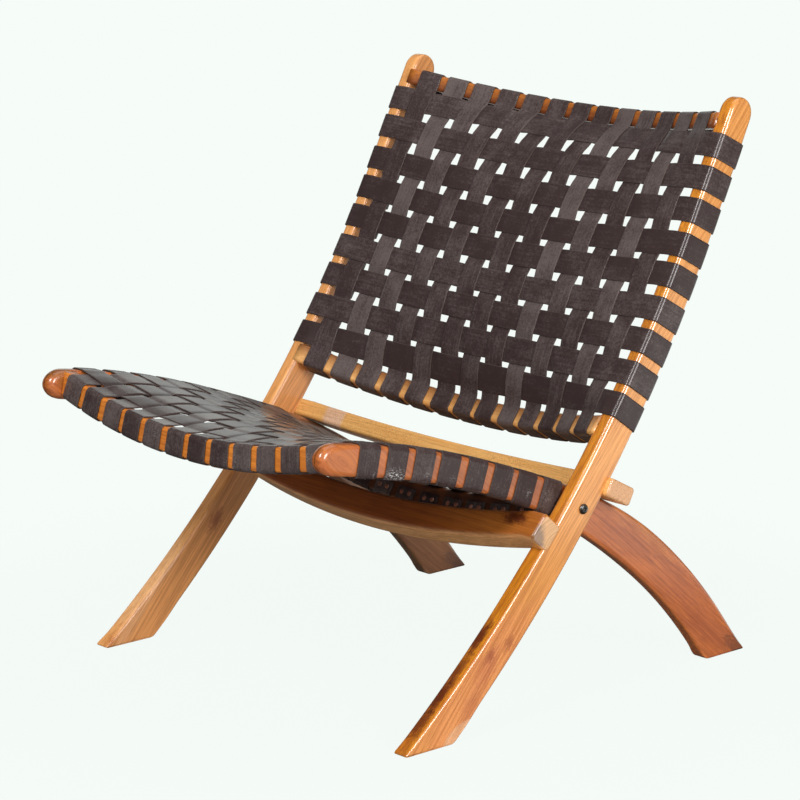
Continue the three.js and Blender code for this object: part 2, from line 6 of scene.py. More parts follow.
import bpy
import numpy as np
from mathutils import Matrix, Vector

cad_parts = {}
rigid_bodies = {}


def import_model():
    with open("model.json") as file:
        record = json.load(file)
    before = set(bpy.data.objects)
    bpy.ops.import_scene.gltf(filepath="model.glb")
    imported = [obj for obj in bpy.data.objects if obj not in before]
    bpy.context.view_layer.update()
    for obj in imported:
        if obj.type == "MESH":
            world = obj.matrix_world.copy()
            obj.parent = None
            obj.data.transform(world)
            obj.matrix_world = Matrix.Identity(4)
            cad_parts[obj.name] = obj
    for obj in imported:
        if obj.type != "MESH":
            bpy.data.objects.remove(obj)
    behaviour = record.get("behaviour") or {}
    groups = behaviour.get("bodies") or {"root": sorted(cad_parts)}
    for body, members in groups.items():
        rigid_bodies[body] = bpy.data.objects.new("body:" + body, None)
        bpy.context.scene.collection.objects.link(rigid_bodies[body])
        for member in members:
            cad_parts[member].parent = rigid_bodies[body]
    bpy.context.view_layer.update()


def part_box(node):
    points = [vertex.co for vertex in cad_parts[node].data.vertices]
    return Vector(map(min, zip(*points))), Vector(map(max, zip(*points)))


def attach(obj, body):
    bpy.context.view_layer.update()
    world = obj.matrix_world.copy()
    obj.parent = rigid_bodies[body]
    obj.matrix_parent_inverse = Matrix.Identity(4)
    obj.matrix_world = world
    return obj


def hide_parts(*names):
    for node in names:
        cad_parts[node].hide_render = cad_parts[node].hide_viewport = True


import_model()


# The stage is a seamless sheet of mint-white paper in soft studio light. The camera sees its own colour,
# with a faint shadow under the chair. Reflections show it bright behind the chair, and a dim studio in front.


def math_node(operation, reflected=False):
    """An operator of Shade: a Math node of the two values, in turn or reflected."""
    def operator(self, other=0.0):
        first, second = (other, self) if reflected else (self, other)
        return self.make("ShaderNodeMath", {"operation": operation}, {0: first, 1: second})
    return operator


class Shade:
    """A value in a node tree. Sums and products of values and numbers add Math nodes, and make() adds
    any other node."""

    def __init__(self, tree, socket=None):
        self.tree = tree
        self.socket = socket

    def make(self, kind, settings=None, inputs=None, output=0):
        """A new node: its settings are set first, then its sockets, by name or number, as values or links.
        A colour is given as its red, green and blue."""
        node = self.tree.nodes.new(kind)
        for name, value in (settings or {}).items():
            setattr(node, name, value)
        for key, value in (inputs or {}).items():
            socket = node.inputs[key]
            if isinstance(value, Shade):
                self.tree.links.new(value.socket, socket)
            else:
                socket.default_value = (*value, 1.0) if socket.type == "RGBA" else value
        return Shade(self.tree, node.outputs[output]) if len(node.outputs) else node

    __add__ = __radd__ = math_node("ADD")
    __sub__, __rsub__ = math_node("SUBTRACT"), math_node("SUBTRACT", True)
    __mul__ = __rmul__ = math_node("MULTIPLY")
    __truediv__ = math_node("DIVIDE")
    __pow__ = math_node("POWER")
    __abs__ = math_node("ABSOLUTE")
    most = math_node("MAXIMUM")

    def rise(self, low, high):
        """0 below low, 1 above high, and a smooth step between them."""
        limits = {"Value": self, "From Min": low, "From Max": high}
        return self.make("ShaderNodeMapRange", {"interpolation_type": "SMOOTHSTEP"}, limits)

    def part(self, axis):
        return self.make("ShaderNodeSeparateXYZ", {}, {0: self}, axis)

    def stretched(self, x, y, z):
        """The vector with each of its parts multiplied."""
        return self.make("ShaderNodeVectorMath", {"operation": "MULTIPLY"}, {0: self, 1: (x, y, z)})

    def noise(self, detail=2.0, roughness=0.5, scale=1.0, twist=0.0):
        inputs = {"Scale": scale, "Detail": detail, "Roughness": roughness, "Distortion": twist}
        return self.make("ShaderNodeTexNoise", {}, {"Vector": self, **inputs})

    def length(self):
        return self.make("ShaderNodeVectorMath", {"operation": "LENGTH"}, {0: self}, "Value")

    def bump(self, strength, distance):
        return self.make("ShaderNodeBump", {}, {"Strength": strength, "Distance": distance, "Height": self})

    def tint(self, first, second, blend="MIX"):
        """The colour that goes from first to second as this value goes from 0 to 1, or with MULTIPLY from
        first to first dyed by second."""
        settings = {"data_type": "RGBA", "blend_type": blend}
        return self.make("ShaderNodeMix", settings, {0: self, 6: first, 7: second}, 2)

    def cover(self, kind, inputs, owner="Material"):
        """Ends the tree with a shader node, which the surface or world shows."""
        self.make(f"ShaderNodeOutput{owner}", {}, {"Surface": self.make(kind, {}, inputs)})


def blank(owner):
    """An emptied node tree of a material, world or lamp."""
    owner.use_nodes = True
    owner.node_tree.nodes.clear()
    return Shade(owner.node_tree)


def blank_material(name):
    """A new material, its emptied tree, and the place on the piece in metres."""
    material = bpy.data.materials.new(name)
    shade = blank(material)
    return material, shade, shade.make("ShaderNodeTexCoord", output="Object")


def kept(shade, name, output):
    """What an attribute of the mesh holds."""
    return shade.make("ShaderNodeAttribute", {"attribute_name": name}, {}, output)


def ray(shade, kind):
    """1 for one kind of ray: Camera, Glossy or Transmission."""
    return shade.make("ShaderNodeLightPath", output=f"Is {kind} Ray")


PAPER = (0.922, 0.973, 0.938)
PAPER_IN_SHADOW = 0.04
FLOOR_BOUNCE = (0.52, 0.53, 0.53)
SHADOW_REACH = (0.45, 0.95)
PAPER_HALF_WIDTH = 30.0
REFLECTED_FLOOR = (0.05, 0.05, 0.05)
BRIGHT_FLOOR = (0.42, 0.7, 1.8, 2.8)
BEHIND = (-0.743, 0.669, 0.0)
BACKDROP_EDGE = (0.66, 0.92)
BACKDROP_FOOT = (-0.02, 0.11)
BACKDROP_TOP = (0.2, 0.5)
DIM_STUDIO = (0.045, 0.045, 0.045)
AMBIENT = (0.38, 0.39, 0.39)

material, shade, place = blank_material("paper")
bright = place.part(1).rise(*BRIGHT_FLOOR[:2]) - place.part(1).rise(*BRIGHT_FLOOR[2:])
dim = ray(shade, "Glossy") * (1 - bright)
diffuse = shade.make("ShaderNodeBsdfDiffuse", {}, {"Color": FLOOR_BOUNCE})
glow = shade.make("ShaderNodeEmission", {}, {"Color": dim.tint(PAPER, REFLECTED_FLOOR), "Strength": 1.0})
direct = ray(shade, "Camera").most(ray(shade, "Transmission"))
share = direct * (1 - PAPER_IN_SHADOW * (1 - place.length().rise(*SHADOW_REACH)))
share = share.most(ray(shade, "Glossy"))
shade.cover("ShaderNodeMixShader", {0: share, 1: diffuse, 2: glow})


def put(name, data):
    """A new object in the scene, at the origin."""
    made = bpy.data.objects.new(name, data)
    bpy.context.scene.collection.objects.link(made)
    return made


mesh = bpy.data.meshes.new("paper")
corners = [(-1, -1), (1, -1), (1, 1), (-1, 1)]
mesh.from_pydata([(x * PAPER_HALF_WIDTH, y * PAPER_HALF_WIDTH, 0) for x, y in corners], [], [(0, 1, 2, 3)])
mesh.materials.append(material)
paper = put("paper", mesh)

world = bpy.data.worlds.new("studio")
bpy.context.scene.world = world
shade = blank(world)
direction = shade.make("ShaderNodeTexCoord", output="Generated")
beyond = shade.make("ShaderNodeVectorMath", {"operation": "DOT_PRODUCT"}, {0: direction, 1: BEHIND}, "Value")
height = direction.part(2)
backdrop = beyond.rise(*BACKDROP_EDGE) * height.rise(*BACKDROP_FOOT) * (1 - height.rise(*BACKDROP_TOP))
colour = ray(shade, "Glossy").tint(AMBIENT, backdrop.tint(DIM_STUDIO, PAPER))
colour = ray(shade, "Camera").most(ray(shade, "Transmission")).tint(colour, PAPER)
shade.cover("ShaderNodeBackground", {"Color": colour, "Strength": 1.0}, "World")


def softbox(name, place, aim, width, height, watts):
    """A rectangular lamp at a place, turned towards a point."""
    lamp = bpy.data.lights.new(name, "AREA")
    lamp.shape = "RECTANGLE"
    lamp.size = width
    lamp.size_y = height
    lamp.energy = watts
    holder = put(name, lamp)
    ahead = np.subtract(aim, place)
    flat = np.hypot(ahead[0], ahead[1])
    holder.location = place
    holder.rotation_euler = (np.arctan2(flat, -ahead[2]), 0, np.arctan2(-ahead[0], ahead[1]))
    holder.visible_camera = False


CHAIR_MIDDLE = (0.0, 0.05, 0.42)
softbox("key_side", (2.86, -0.2, 1.3), CHAIR_MIDDLE, 0.8, 1.1, 50.0)
softbox("key_front", (0.87, -2.15, 2.25), CHAIR_MIDDLE, 0.6, 1.0, 46.0)
softbox("overhead", (0.0, 0.6, 3.0), CHAIR_MIDDLE, 2.2, 2.2, 16.0)
bpy.context.scene.view_settings.view_transform = "Standard"


# The camera stands where the photograph was taken from: to the right of the chair's front, a little above
# the seat, and far off with a long lens.

EYE = (3.005, -2.706, 1.276)
AZIMUTH = np.radians(47.92)
ELEVATION = np.radians(13.04)
SENSOR = 36.0
FOCAL_PIXELS = 3288.0
FRAME_PIXELS = 800.0

camera = put("camera", bpy.data.cameras.new("camera"))
camera.data.sensor_width = SENSOR
camera.data.lens = SENSOR * FOCAL_PIXELS / FRAME_PIXELS
camera.location = EYE
camera.rotation_euler = (np.pi / 2 - ELEVATION, 0, AZIMUTH)
bpy.context.scene.camera = camera


# The stiles are two curved boards of teak, sawn from wide planks, from the front feet to the rounded
# tops. The low edges are eased a little, the upper ones more, for the straps, and all is varnished.

MM = 0.001
SIDES = (("left", -1), ("right", 1))
OUTER = 300.0
STILE_THICK = 22.0
INNER = OUTER - STILE_THICK
STILE_DEPTH_FOOT = 51.0
STILE_DEPTH_TOP = 40.5
STILE_LENGTH = 927.0
FOOT_LEAN = np.radians(51.9)
STILE_RADIUS = 1726.0
STILE_ARC_LENGTH = 758.0
STILE_NOSE = 22.0
TOE_CUT = 8.0
HEEL_CUT = 5.0
SOLE_EASE = 1.6
LEG_EASE = {"left": 5.0, "right": 3.0}
REAR_EASE = 5.0
STRAP_EASE = 6.0
SOLE_EASED = (1.0, 17.0)
HEEL_EASED = (12.0, 42.0)
STRAPS_EASED = (170.0, 270.0)
NOSE_POINTS = 14
POINTS_BELOW_NOSE = 8
SOLE_STARTS = 0.02
EDGE_STARTS = 1.5
UNDER_FLOOR = -30.0
FOOT_TOP = 40.0
TOE_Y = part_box("stile_left")[0][1] / MM


def in_plane(y, z):
    """Points or directions of the chair's middle plane, where x is 0."""
    return np.stack([np.zeros_like(y), y, z], -1)


def unit(directions):
    """The directions, each divided by its length."""
    return directions / np.linalg.norm(directions, axis=-1)[..., None]


def stile_at(along):
    """The stile's front edge, by length from the toe: an arc that grows steeper, then straight. Gives
    its points, its directions upwards and forwards, and the board's depth."""
    along = np.asarray(along, float)
    bent = np.minimum(along, STILE_ARC_LENGTH)
    lean = FOOT_LEAN - bent / STILE_RADIUS
    up = in_plane(np.sin(lean), np.cos(lean))
    forward = in_plane(-np.cos(lean), np.sin(lean))
    y = TOE_Y + STILE_RADIUS * (np.cos(lean) - np.cos(FOOT_LEAN))
    z = STILE_RADIUS * (np.sin(FOOT_LEAN) - np.sin(lean))
    depth = STILE_DEPTH_FOOT + (STILE_DEPTH_TOP - STILE_DEPTH_FOOT) * along / STILE_LENGTH
    return in_plane(y, z) + up * (along - bent)[..., None], up, forward, depth


def curve_through(first, control, last, count):
    """A quadratic curve from first to last that leaves and arrives in the direction of control."""
    t = np.linspace(0, 1, count).reshape((-1,) + (1,) * np.ndim(first))
    return (1 - t) ** 2 * first + 2 * t * (1 - t) * control + t ** 2 * last


def smooth(value, low, high):
    """0 at low, 1 at high, the step 3tt - 2ttt between them, and level beyond them."""
    t = np.clip((value - low) / (high - low), 0, 1)
    return t * t * (3 - 2 * t)


def on_floor(edge):
    """Where an edge, given as points from the floor upwards, cuts the floor."""
    below, above = edge[0], edge[1]
    return below + (above - below) * (-below[2] / (above[2] - below[2]))


def evened(edge, count):
    """The same polyline with a set number of points, evenly spread by length."""
    length = np.concatenate([[0], np.cumsum(np.linalg.norm(np.diff(edge, axis=0), axis=1))])
    wanted = np.linspace(0, length[-1], count)
    return np.stack([np.interp(wanted, length, edge[:, axis]) for axis in range(3)], 1)


def from_the_floor(edge):
    """An edge without its points under the floor, but for the last of them."""
    return edge[np.argmax(edge[:, 2] > 0) - 1:]


def side_board(front, back, tip, tip_ahead, front_cut, back_cut, count):
    """The two edges of a side board, foot to tip, with equally many points: level along half of the sole,
    round the corner at its cut, up the edge, and over the tip as a quarter ellipse of that length."""
    turn = np.radians(np.linspace(0, 88, NOSE_POINTS + 1))[1:, None]
    front, back = from_the_floor(front), from_the_floor(back)
    middle = (front[-1] + back[-1]) / 2
    sole_middle = (on_floor(front) + on_floor(back)) / 2
    edges = []
    for edge, cut in ((front, front_cut), (back, back_cut)):
        corner = on_floor(edge)
        level, climb = unit(sole_middle - corner), unit(edge[1] - edge[0])
        bend = curve_through(corner + level * cut, corner, corner + climb * cut, 7)
        start = sole_middle + (corner - sole_middle) * SOLE_STARTS
        sole = start + (bend[0] - start) * np.linspace(0, 1, 5)[:-1, None]
        height = np.linalg.norm(edge - corner, axis=1) * np.sign(edge[:, 2])
        nose = middle + (edge[-1] - middle) * np.cos(turn) + tip_ahead * tip * np.sin(turn)
        edges.append(np.vstack([sole, bend, evened(edge[height > cut * EDGE_STARTS], count), nose]))
    return edges


def board(front, back, middle, thick, front_ease, back_ease):
    """A flat board with eased edges. Its outline runs up the front edge and down the back edge, which
    have equally many points, and its cross profile at each point is a quarter circle, a flat and a
    quarter circle, drawn in along the outline's normal. Rungs between the two edges fill the cheeks."""
    outline = np.vstack([front, back[::-1]])
    ahead = np.roll(outline, -1, 0) - np.roll(outline, 1, 0)
    outward = unit(in_plane(-ahead[:, 2], ahead[:, 1]))
    ease = np.concatenate([front_ease, back_ease[::-1]])[:, None]
    turn = np.radians(np.linspace(90, 0, 7))[None]
    guard = 0.12
    drawn_in = ease * (1 - np.cos(turn))
    sideways = thick / 2 - ease * (1 - np.sin(turn))
    drawn_in = np.hstack([ease * (1 + guard), drawn_in, 0 * ease])
    sideways = np.hstack([thick / 2 + 0 * ease, sideways, thick / 2 - ease * (1 + guard)])
    drawn_in = np.hstack([drawn_in, drawn_in[:, ::-1]])
    sideways = np.hstack([-sideways, sideways[:, ::-1]])
    points = outline[:, None] - outward[:, None] * drawn_in[..., None]
    points[..., 0] = middle + sideways
    count, across = drawn_in.shape
    index = np.arange(count * across).reshape(count, across)
    ahead = np.roll(index, -1, 0)
    skin = np.stack([index[:, :-1], index[:, 1:], ahead[:, 1:], ahead[:, :-1]], -1).reshape(-1, 4)
    half = count // 2
    rungs = np.stack([index[:half - 1], index[1:half], index[::-1][1:half], index[::-1][:half - 1]], -1)
    return points, [skin, rungs[:, 0], rungs[:, -1, ::-1]]


def piece(node, form, points, faces, body, material):
    """Puts a surface in millimetres into a smooth mesh in metres, which rides on a body. If it has a form,
    it stands for the CAD node and is named after both."""
    name = f"{node}_{form}" if form else node
    points = points.reshape(-1, 3)
    mesh = bpy.data.meshes.new(name)
    loops = np.concatenate([group.ravel() for group in faces]).astype(np.int32)
    sizes = np.concatenate([np.full(len(group), group.shape[1]) for group in faces])
    starts = (np.cumsum(sizes) - sizes).astype(np.int32)
    mesh.vertices.add(len(points))
    mesh.vertices.foreach_set("co", (points * MM).astype(np.float32).ravel())
    mesh.loops.add(len(loops))
    mesh.loops.foreach_set("vertex_index", loops)
    mesh.polygons.add(len(starts))
    mesh.polygons.foreach_set("loop_start", starts)
    mesh.update(calc_edges=True)
    mesh.shade_smooth()
    mesh.materials.append(material)
    made = put(name, mesh)
    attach(made, body)
    if form:
        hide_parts(node)
    return made


RING_WIDTH = 0.0036
PORE = (0.5, 0.4, 0.34)


def teak(name, centre, turn, pith, face, cheek=None, marks=(), polish=1.7, end=None, sawn=None, painted_shading=False,
         grit=0.0):
    """Varnished teak. Growth rings are shells round a pith line beside the board, drawn out of round by
    a slow wander; fibres and pores are noise stretched along the grain. Centre and turn give the board's
    place and its grain as local z. Face is its lightest and darkest colour, and cheek the same for the
    faces that look sideways, which is partly the wood's own colour and partly painted light. Marks are
    (centre, half lengths, dye, strength, swirl, crispness) of burls, knots, patches of stain, and patches
    of painted light and shade, in metres, and rings close round a mark by its swirl. Polish is the
    varnish's index of refraction. End is the x where end grain shows, and sawn its two colours. A piece
    with painted shading is dyed by its attribute of painted light and shade, and grit is the share of dark
    specks."""
    material, shade, place = blank_material(name)
    settings = {"vector_type": "TEXTURE"}
    grain = shade.make("ShaderNodeMapping", settings, {"Vector": place, "Location": centre, "Rotation": turn})
    beside = grain.part(0) - pith[0]
    behind = grain.part(1) - pith[1]
    shell = (beside * beside + behind * behind) ** 0.5
    shell = shell + (grain.stretched(9, 9, 1.8).noise(3.0, 0.5) - 0.5) * 0.03
    shell = shell + (grain.stretched(70, 70, 8).noise(2.0, 0.5) - 0.5) * 0.0018
    dyed = []
    ringed = 0.0
    for mark_centre, halves, dye, strength, swirl, crisp in marks:
        spread = {"Vector": place, "Location": mark_centre, "Rotation": turn, "Scale": halves}
        inside = shade.make("ShaderNodeMapping", settings, spread)
        reach = inside.length()
        ragged = reach + (inside.noise(5.0, 0.65, 2.0, 1.2) - 0.5) * (1.9 - 1.9 * crisp)
        share = 1 - ragged.rise(0.3 + 0.64 * crisp, 1.0)
        if swirl:
            shell = shell + share * (reach * swirl - shell)
            ringed = ringed + share
        dyed.append((share * strength, dye))
    growth = shade.make("ShaderNodeTexNoise", {"noise_dimensions": "1D"},
                        {"W": shell / RING_WIDTH, "Scale": 1.0, "Detail": 4.0, "Roughness": 0.7})
    bands = growth.rise(0.32, 0.68)
    fibres = grain.stretched(330, 330, 8).noise(4.0, 0.7)
    pores = grain.stretched(1500, 1500, 34).noise(1.0, 0.5).rise(0.6, 0.7)
    cloud = grain.stretched(24, 24, 4).noise(3.0, 0.6)
    figure = bands * (0.14 + 0.46 * ringed) + fibres.rise(0.4, 0.6) * (0.54 - 0.4 * ringed)
    figure = figure + cloud.rise(0.3, 0.7) * 0.32
    colour = figure.tint(*face)
    # Sideways faces take the cheek colours: partly the wood's own colour there, partly painted light.
    if cheek:
        sideways = abs(shade.make("ShaderNodeTexCoord", output="Normal").part(0)).rise(0.35, 0.85)
        colour = sideways.tint(colour, figure.tint(*cheek))
    colour = (pores * 0.45).tint(colour, PORE, "MULTIPLY")
    if end:
        cut = abs(place.part(0)).rise(end - 0.0003, end - 0.0001)
        colour = cut.tint(colour, growth.rise(0.38, 0.62).tint(*sawn))
    if grit:
        specks = place.noise(2.0, 0.6, 620.0).rise(0.52, 0.62) * place.noise(2.0, 0.5, 7.0).rise(0.3, 0.55)
        colour = (specks * grit).tint(colour, PORE, "MULTIPLY")
    for share, dye in dyed:
        colour = share.tint(colour, dye, "MULTIPLY")
    # Painted light and shade, kept for each point of the mesh, dye the colour last.
    if painted_shading:
        dye = kept(shade, "painted_light_and_shade", "Color")
        settings = {"data_type": "RGBA", "blend_type": "MULTIPLY"}
        colour = shade.make("ShaderNodeMix", settings, {0: 1.0, 6: colour, 7: dye}, 2)
    rough = 0.34 + fibres * 0.16 + pores * 0.2
    normal = (fibres * 0.5 + bands * 0.25).bump(0.05, 0.0005)
    varnish = 1.0 - pores * 0.15 - fibres * 0.05
    inputs = {"Base Color": colour, "Roughness": rough, "Normal": normal, "Coat Weight": varnish,
              "Coat Roughness": 0.16, "Coat IOR": polish, "Specular IOR Level": 0.5}
    shade.cover("ShaderNodeBsdfPrincipled", inputs)
    return material


STILE_FACE = {"left": ((0.98, 0.46, 0.15), (0.72, 0.28, 0.068)),
              "right": ((0.86, 0.31, 0.014), (0.42, 0.112, 0.004))}
# The stiles' sideways faces: partly the wood's own colour, partly painted light, paler on the right stile as
# a painted reflection of the pale paper and darker on the left as painted shade under the seat.
STILE_CHEEK_AND_PAINTED_LIGHT = {"left": ((0.84, 0.36, 0.115), (0.46, 0.175, 0.05)),
               "right": ((0.97, 0.42, 0.11), (0.56, 0.195, 0.036))}
STILE_POLISH = {"left": 1.3, "right": 1.7}
STILE_GRAIN = (-np.radians(41.0), 0.0, 0.0)
STILE_MIDDLE = (-0.05, 0.3)
STILE_PITH = (0.035, 0.055)
BURL = (0.22, 0.1, 0.06)
STAIN = (0.74, 0.58, 0.55)
GOLD_AND_PAINTED_LIGHT = (1.08, 1.26, 1.75)
LOW_CHEEK = (0.97, 0.88, 1.08)
KNOT = (0.56, 0.42, 0.5)
PINK = (0.84, 0.72, 0.92)
BARE = (1.06, 1.45, 2.4)
STILE_MARKS = {"right": [
    ((0.302, -0.14, 0.04), (0.012, 0.075, 0.17), LOW_CHEEK, 0.95, 0.0, 0.4),
    ((0.284, -0.195, 0.055), (0.0145, 0.024, 0.15), STAIN, 0.9, 0.0, 0.2),
    *(((x, y, z), (0.0145, wide, long), BURL, strength, 0.02, 0.0) for x, y, z, wide, long, strength in (
        (0.283, -0.1246, 0.1152, 0.018, 0.034, 0.95), (0.283, -0.16, 0.082, 0.016, 0.03, 0.7),
        (0.283, -0.19, 0.056, 0.018, 0.036, 0.9), (0.284, -0.22, 0.03, 0.016, 0.03, 0.7))),
    *(((0.3, y, z), (0.004, 0.01, 0.014), KNOT, 0.6, 0.014, 0.0)
      for y, z in ((-0.0881, 0.1066), (-0.1193, 0.097))),
    ((0.3, -0.1241, 0.0831), (0.006, 0.02, 0.04), PINK, 0.7, 0.0, 0.0),
    ((0.3, -0.15, 0.04), (0.006, 0.018, 0.03), PINK, 0.6, 0.0, 0.0),
    ((0.3, -0.153, -0.023), (0.03, 0.05, 0.05), BARE, 0.9, 0.0, 1.0),
], "left": [
    # The left leg's lower front is lighter and more golden: partly the wood's colour, partly painted light
    # that lifts the shade of the seat.
    ((-0.29, -0.162, 0.084), (0.03, 0.014, 0.2), GOLD_AND_PAINTED_LIGHT, 0.95, 0.0, 0.3),
    ((-0.29, -0.165, 0.105), (0.02, 0.006, 0.03), STAIN, 0.8, 0.01, 0.0),
    ((-0.278, -0.0697, 0.1408), (0.008, 0.012, 0.024), KNOT, 0.8, 0.012, 0.0),
    ((-0.28, -0.248, 0.015), (0.012, 0.012, 0.018), STAIN, 0.9, 0.006, 0.0),
]}

along = np.concatenate([np.linspace(UNDER_FLOOR, FOOT_TOP, 15)[:-1],
                        np.linspace(FOOT_TOP, STILE_LENGTH - STILE_NOSE, 70)])
path, up, forward, depth = stile_at(along)
stile_front, stile_back = side_board(path, path - forward * depth[:, None], STILE_NOSE, up[-1],
                                     TOE_CUT, HEEL_CUT, 80)
climb = np.minimum(stile_front[:, 2], stile_back[:, 2])
nose_from = len(climb) - NOSE_POINTS
to_top = smooth(np.arange(len(climb)), nose_from - POINTS_BELOW_NOSE, nose_from)
for name, side in SIDES:
    stile_ease = SOLE_EASE + (LEG_EASE[name] - SOLE_EASE) * smooth(climb, *SOLE_EASED)
    stile_ease += (STRAP_EASE - LEG_EASE[name]) * smooth(climb, *STRAPS_EASED)
    stile_rear_ease = SOLE_EASE + (REAR_EASE - SOLE_EASE) * smooth(climb, *HEEL_EASED)
    stile_rear_ease += (stile_ease - stile_rear_ease) * to_top
    middle = side * (OUTER - STILE_THICK / 2)
    pith = (side * STILE_PITH[0], STILE_PITH[1])
    wood = teak(f"teak_stile_{name}", (middle * MM, *STILE_MIDDLE), STILE_GRAIN, pith, STILE_FACE[name],
                STILE_CHEEK_AND_PAINTED_LIGHT[name], STILE_MARKS[name], STILE_POLISH[name])
    points, faces = board(stile_front, stile_back, middle, STILE_THICK, stile_ease, stile_rear_ease)
    piece(f"stile_{name}", "board", points, faces, "back_frame", wood)


# The seat rails are two curved boards of teak, from a fully rounded front end past the pivot, where a
# bolt holds them, to the rear foot. The rear legs were stained redder by wear and damp, and are darker
# round the heels. The left rear leg's browner colour is partly painted shade, the right leg's orange
# top face partly a painted highlight, and the right rail is painted darker under the seat's straps, as
# their shade.

SEAT_THICK = 21.0
SEAT_DEPTH_FRONT = 37.7
SEAT_DEPTH_LEG = 57.8
SEAT_DEPTH_GROWS = (-130.0, 170.0)
SEAT_FRONT = {"left": 407.0, "right": 415.0}
PIVOT_ANGLE = np.radians(25.84)
SEAT_RADIUS = 1334.0
LEG_RADIUS = 734.0
LEG_ANGLE = np.radians(52.72)
SEAT_OUTER = 274.0
SEAT_INNER = SEAT_OUTER - SEAT_THICK
SEAT_NOSE = 25.0
SEAT_EASE = 5.0
NOSE_EASE = 9.8
NOSE_EASED = (10.0, 52.0)
LEG_PAST_FLOOR = 480.0
LEG_TOE_CUT = 7.0
LEG_HEEL_CUT = 3.5
PIVOT_ALONG = 381.5
PIVOT_BEHIND = 25.2

pivot_path, _, pivot_forward, _ = stile_at(PIVOT_ALONG)
PIVOT = pivot_path - pivot_forward * PIVOT_BEHIND


def seat_at(along):
    """The seat rail's middle line, by length from the pivot, negative to the front: one arc before the
    pivot, a tighter one behind it, then straight. Gives points, directions back and up, and depth."""
    along = np.asarray(along, float)
    radius = np.where(along < 0, SEAT_RADIUS, LEG_RADIUS)
    bent = np.minimum(along, (LEG_ANGLE - PIVOT_ANGLE) * LEG_RADIUS)
    angle = PIVOT_ANGLE + bent / radius
    y = PIVOT[1] + radius * (np.sin(angle) - np.sin(PIVOT_ANGLE))
    z = PIVOT[2] + radius * (np.cos(angle) - np.cos(PIVOT_ANGLE))
    back = in_plane(np.cos(angle), -np.sin(angle))
    up = in_plane(np.sin(angle), np.cos(angle))
    depth = SEAT_DEPTH_FRONT + (SEAT_DEPTH_LEG - SEAT_DEPTH_FRONT) * smooth(along, *SEAT_DEPTH_GROWS)
    return in_plane(y, z) + back * (along - bent)[..., None], back, up, depth


def seat_face(along):
    """The seat rail's top face, with its directions taken from two points close by."""
    along = np.asarray(along, float)

    def top(length):
        p, _, up, depth = seat_at(length)
        return p + up * depth[..., None] / 2

    lengthwise = unit(top(along + 1) - top(along - 1))
    out = in_plane(-lengthwise[..., 2], lengthwise[..., 1])
    return top(along), lengthwise, out, seat_at(along)[3]


SEAT_FACE = ((0.6, 0.16, 0.018), (0.27, 0.058, 0.006))
# The seat rails' sideways faces are paler: partly the wood's own colour, partly a painted reflection of the
# pale paper.
SEAT_CHEEK_AND_PAINTED_LIGHT = ((0.7, 0.2, 0.048), (0.4, 0.098, 0.026))
LEG_PLUM = (0.8, 0.78, 1.05)
LEG_BROWN_AND_SHADE = (0.44, 0.72, 1.3)
LEG_ORANGE_AND_HIGHLIGHT = (1.2, 1.4, 1.3)
HEEL_DARKENING = (0.46, 0.52, 0.8)
SHADE_UNDER_STRAPS = (0.7, 0.68, 0.6)
NOSE_RINGS = {"left": (0.62, 0.78, 0.55), "right": (0.94, 0.98, 0.72)}
RINGS_FROM_TIP = 34.0
LEG_GRAIN = (np.pi + np.radians(90 - 40.0), 0.0, 0.0)
LEG_MIDDLE = (0.03, 0.25)
LEG_PITH = (0.02, -0.03)
SATIN = 1.6


def at_x(x, spot):
    """A spot of the middle plane, moved to an x, all in metres."""
    return (x, *(spot[1:] * MM))


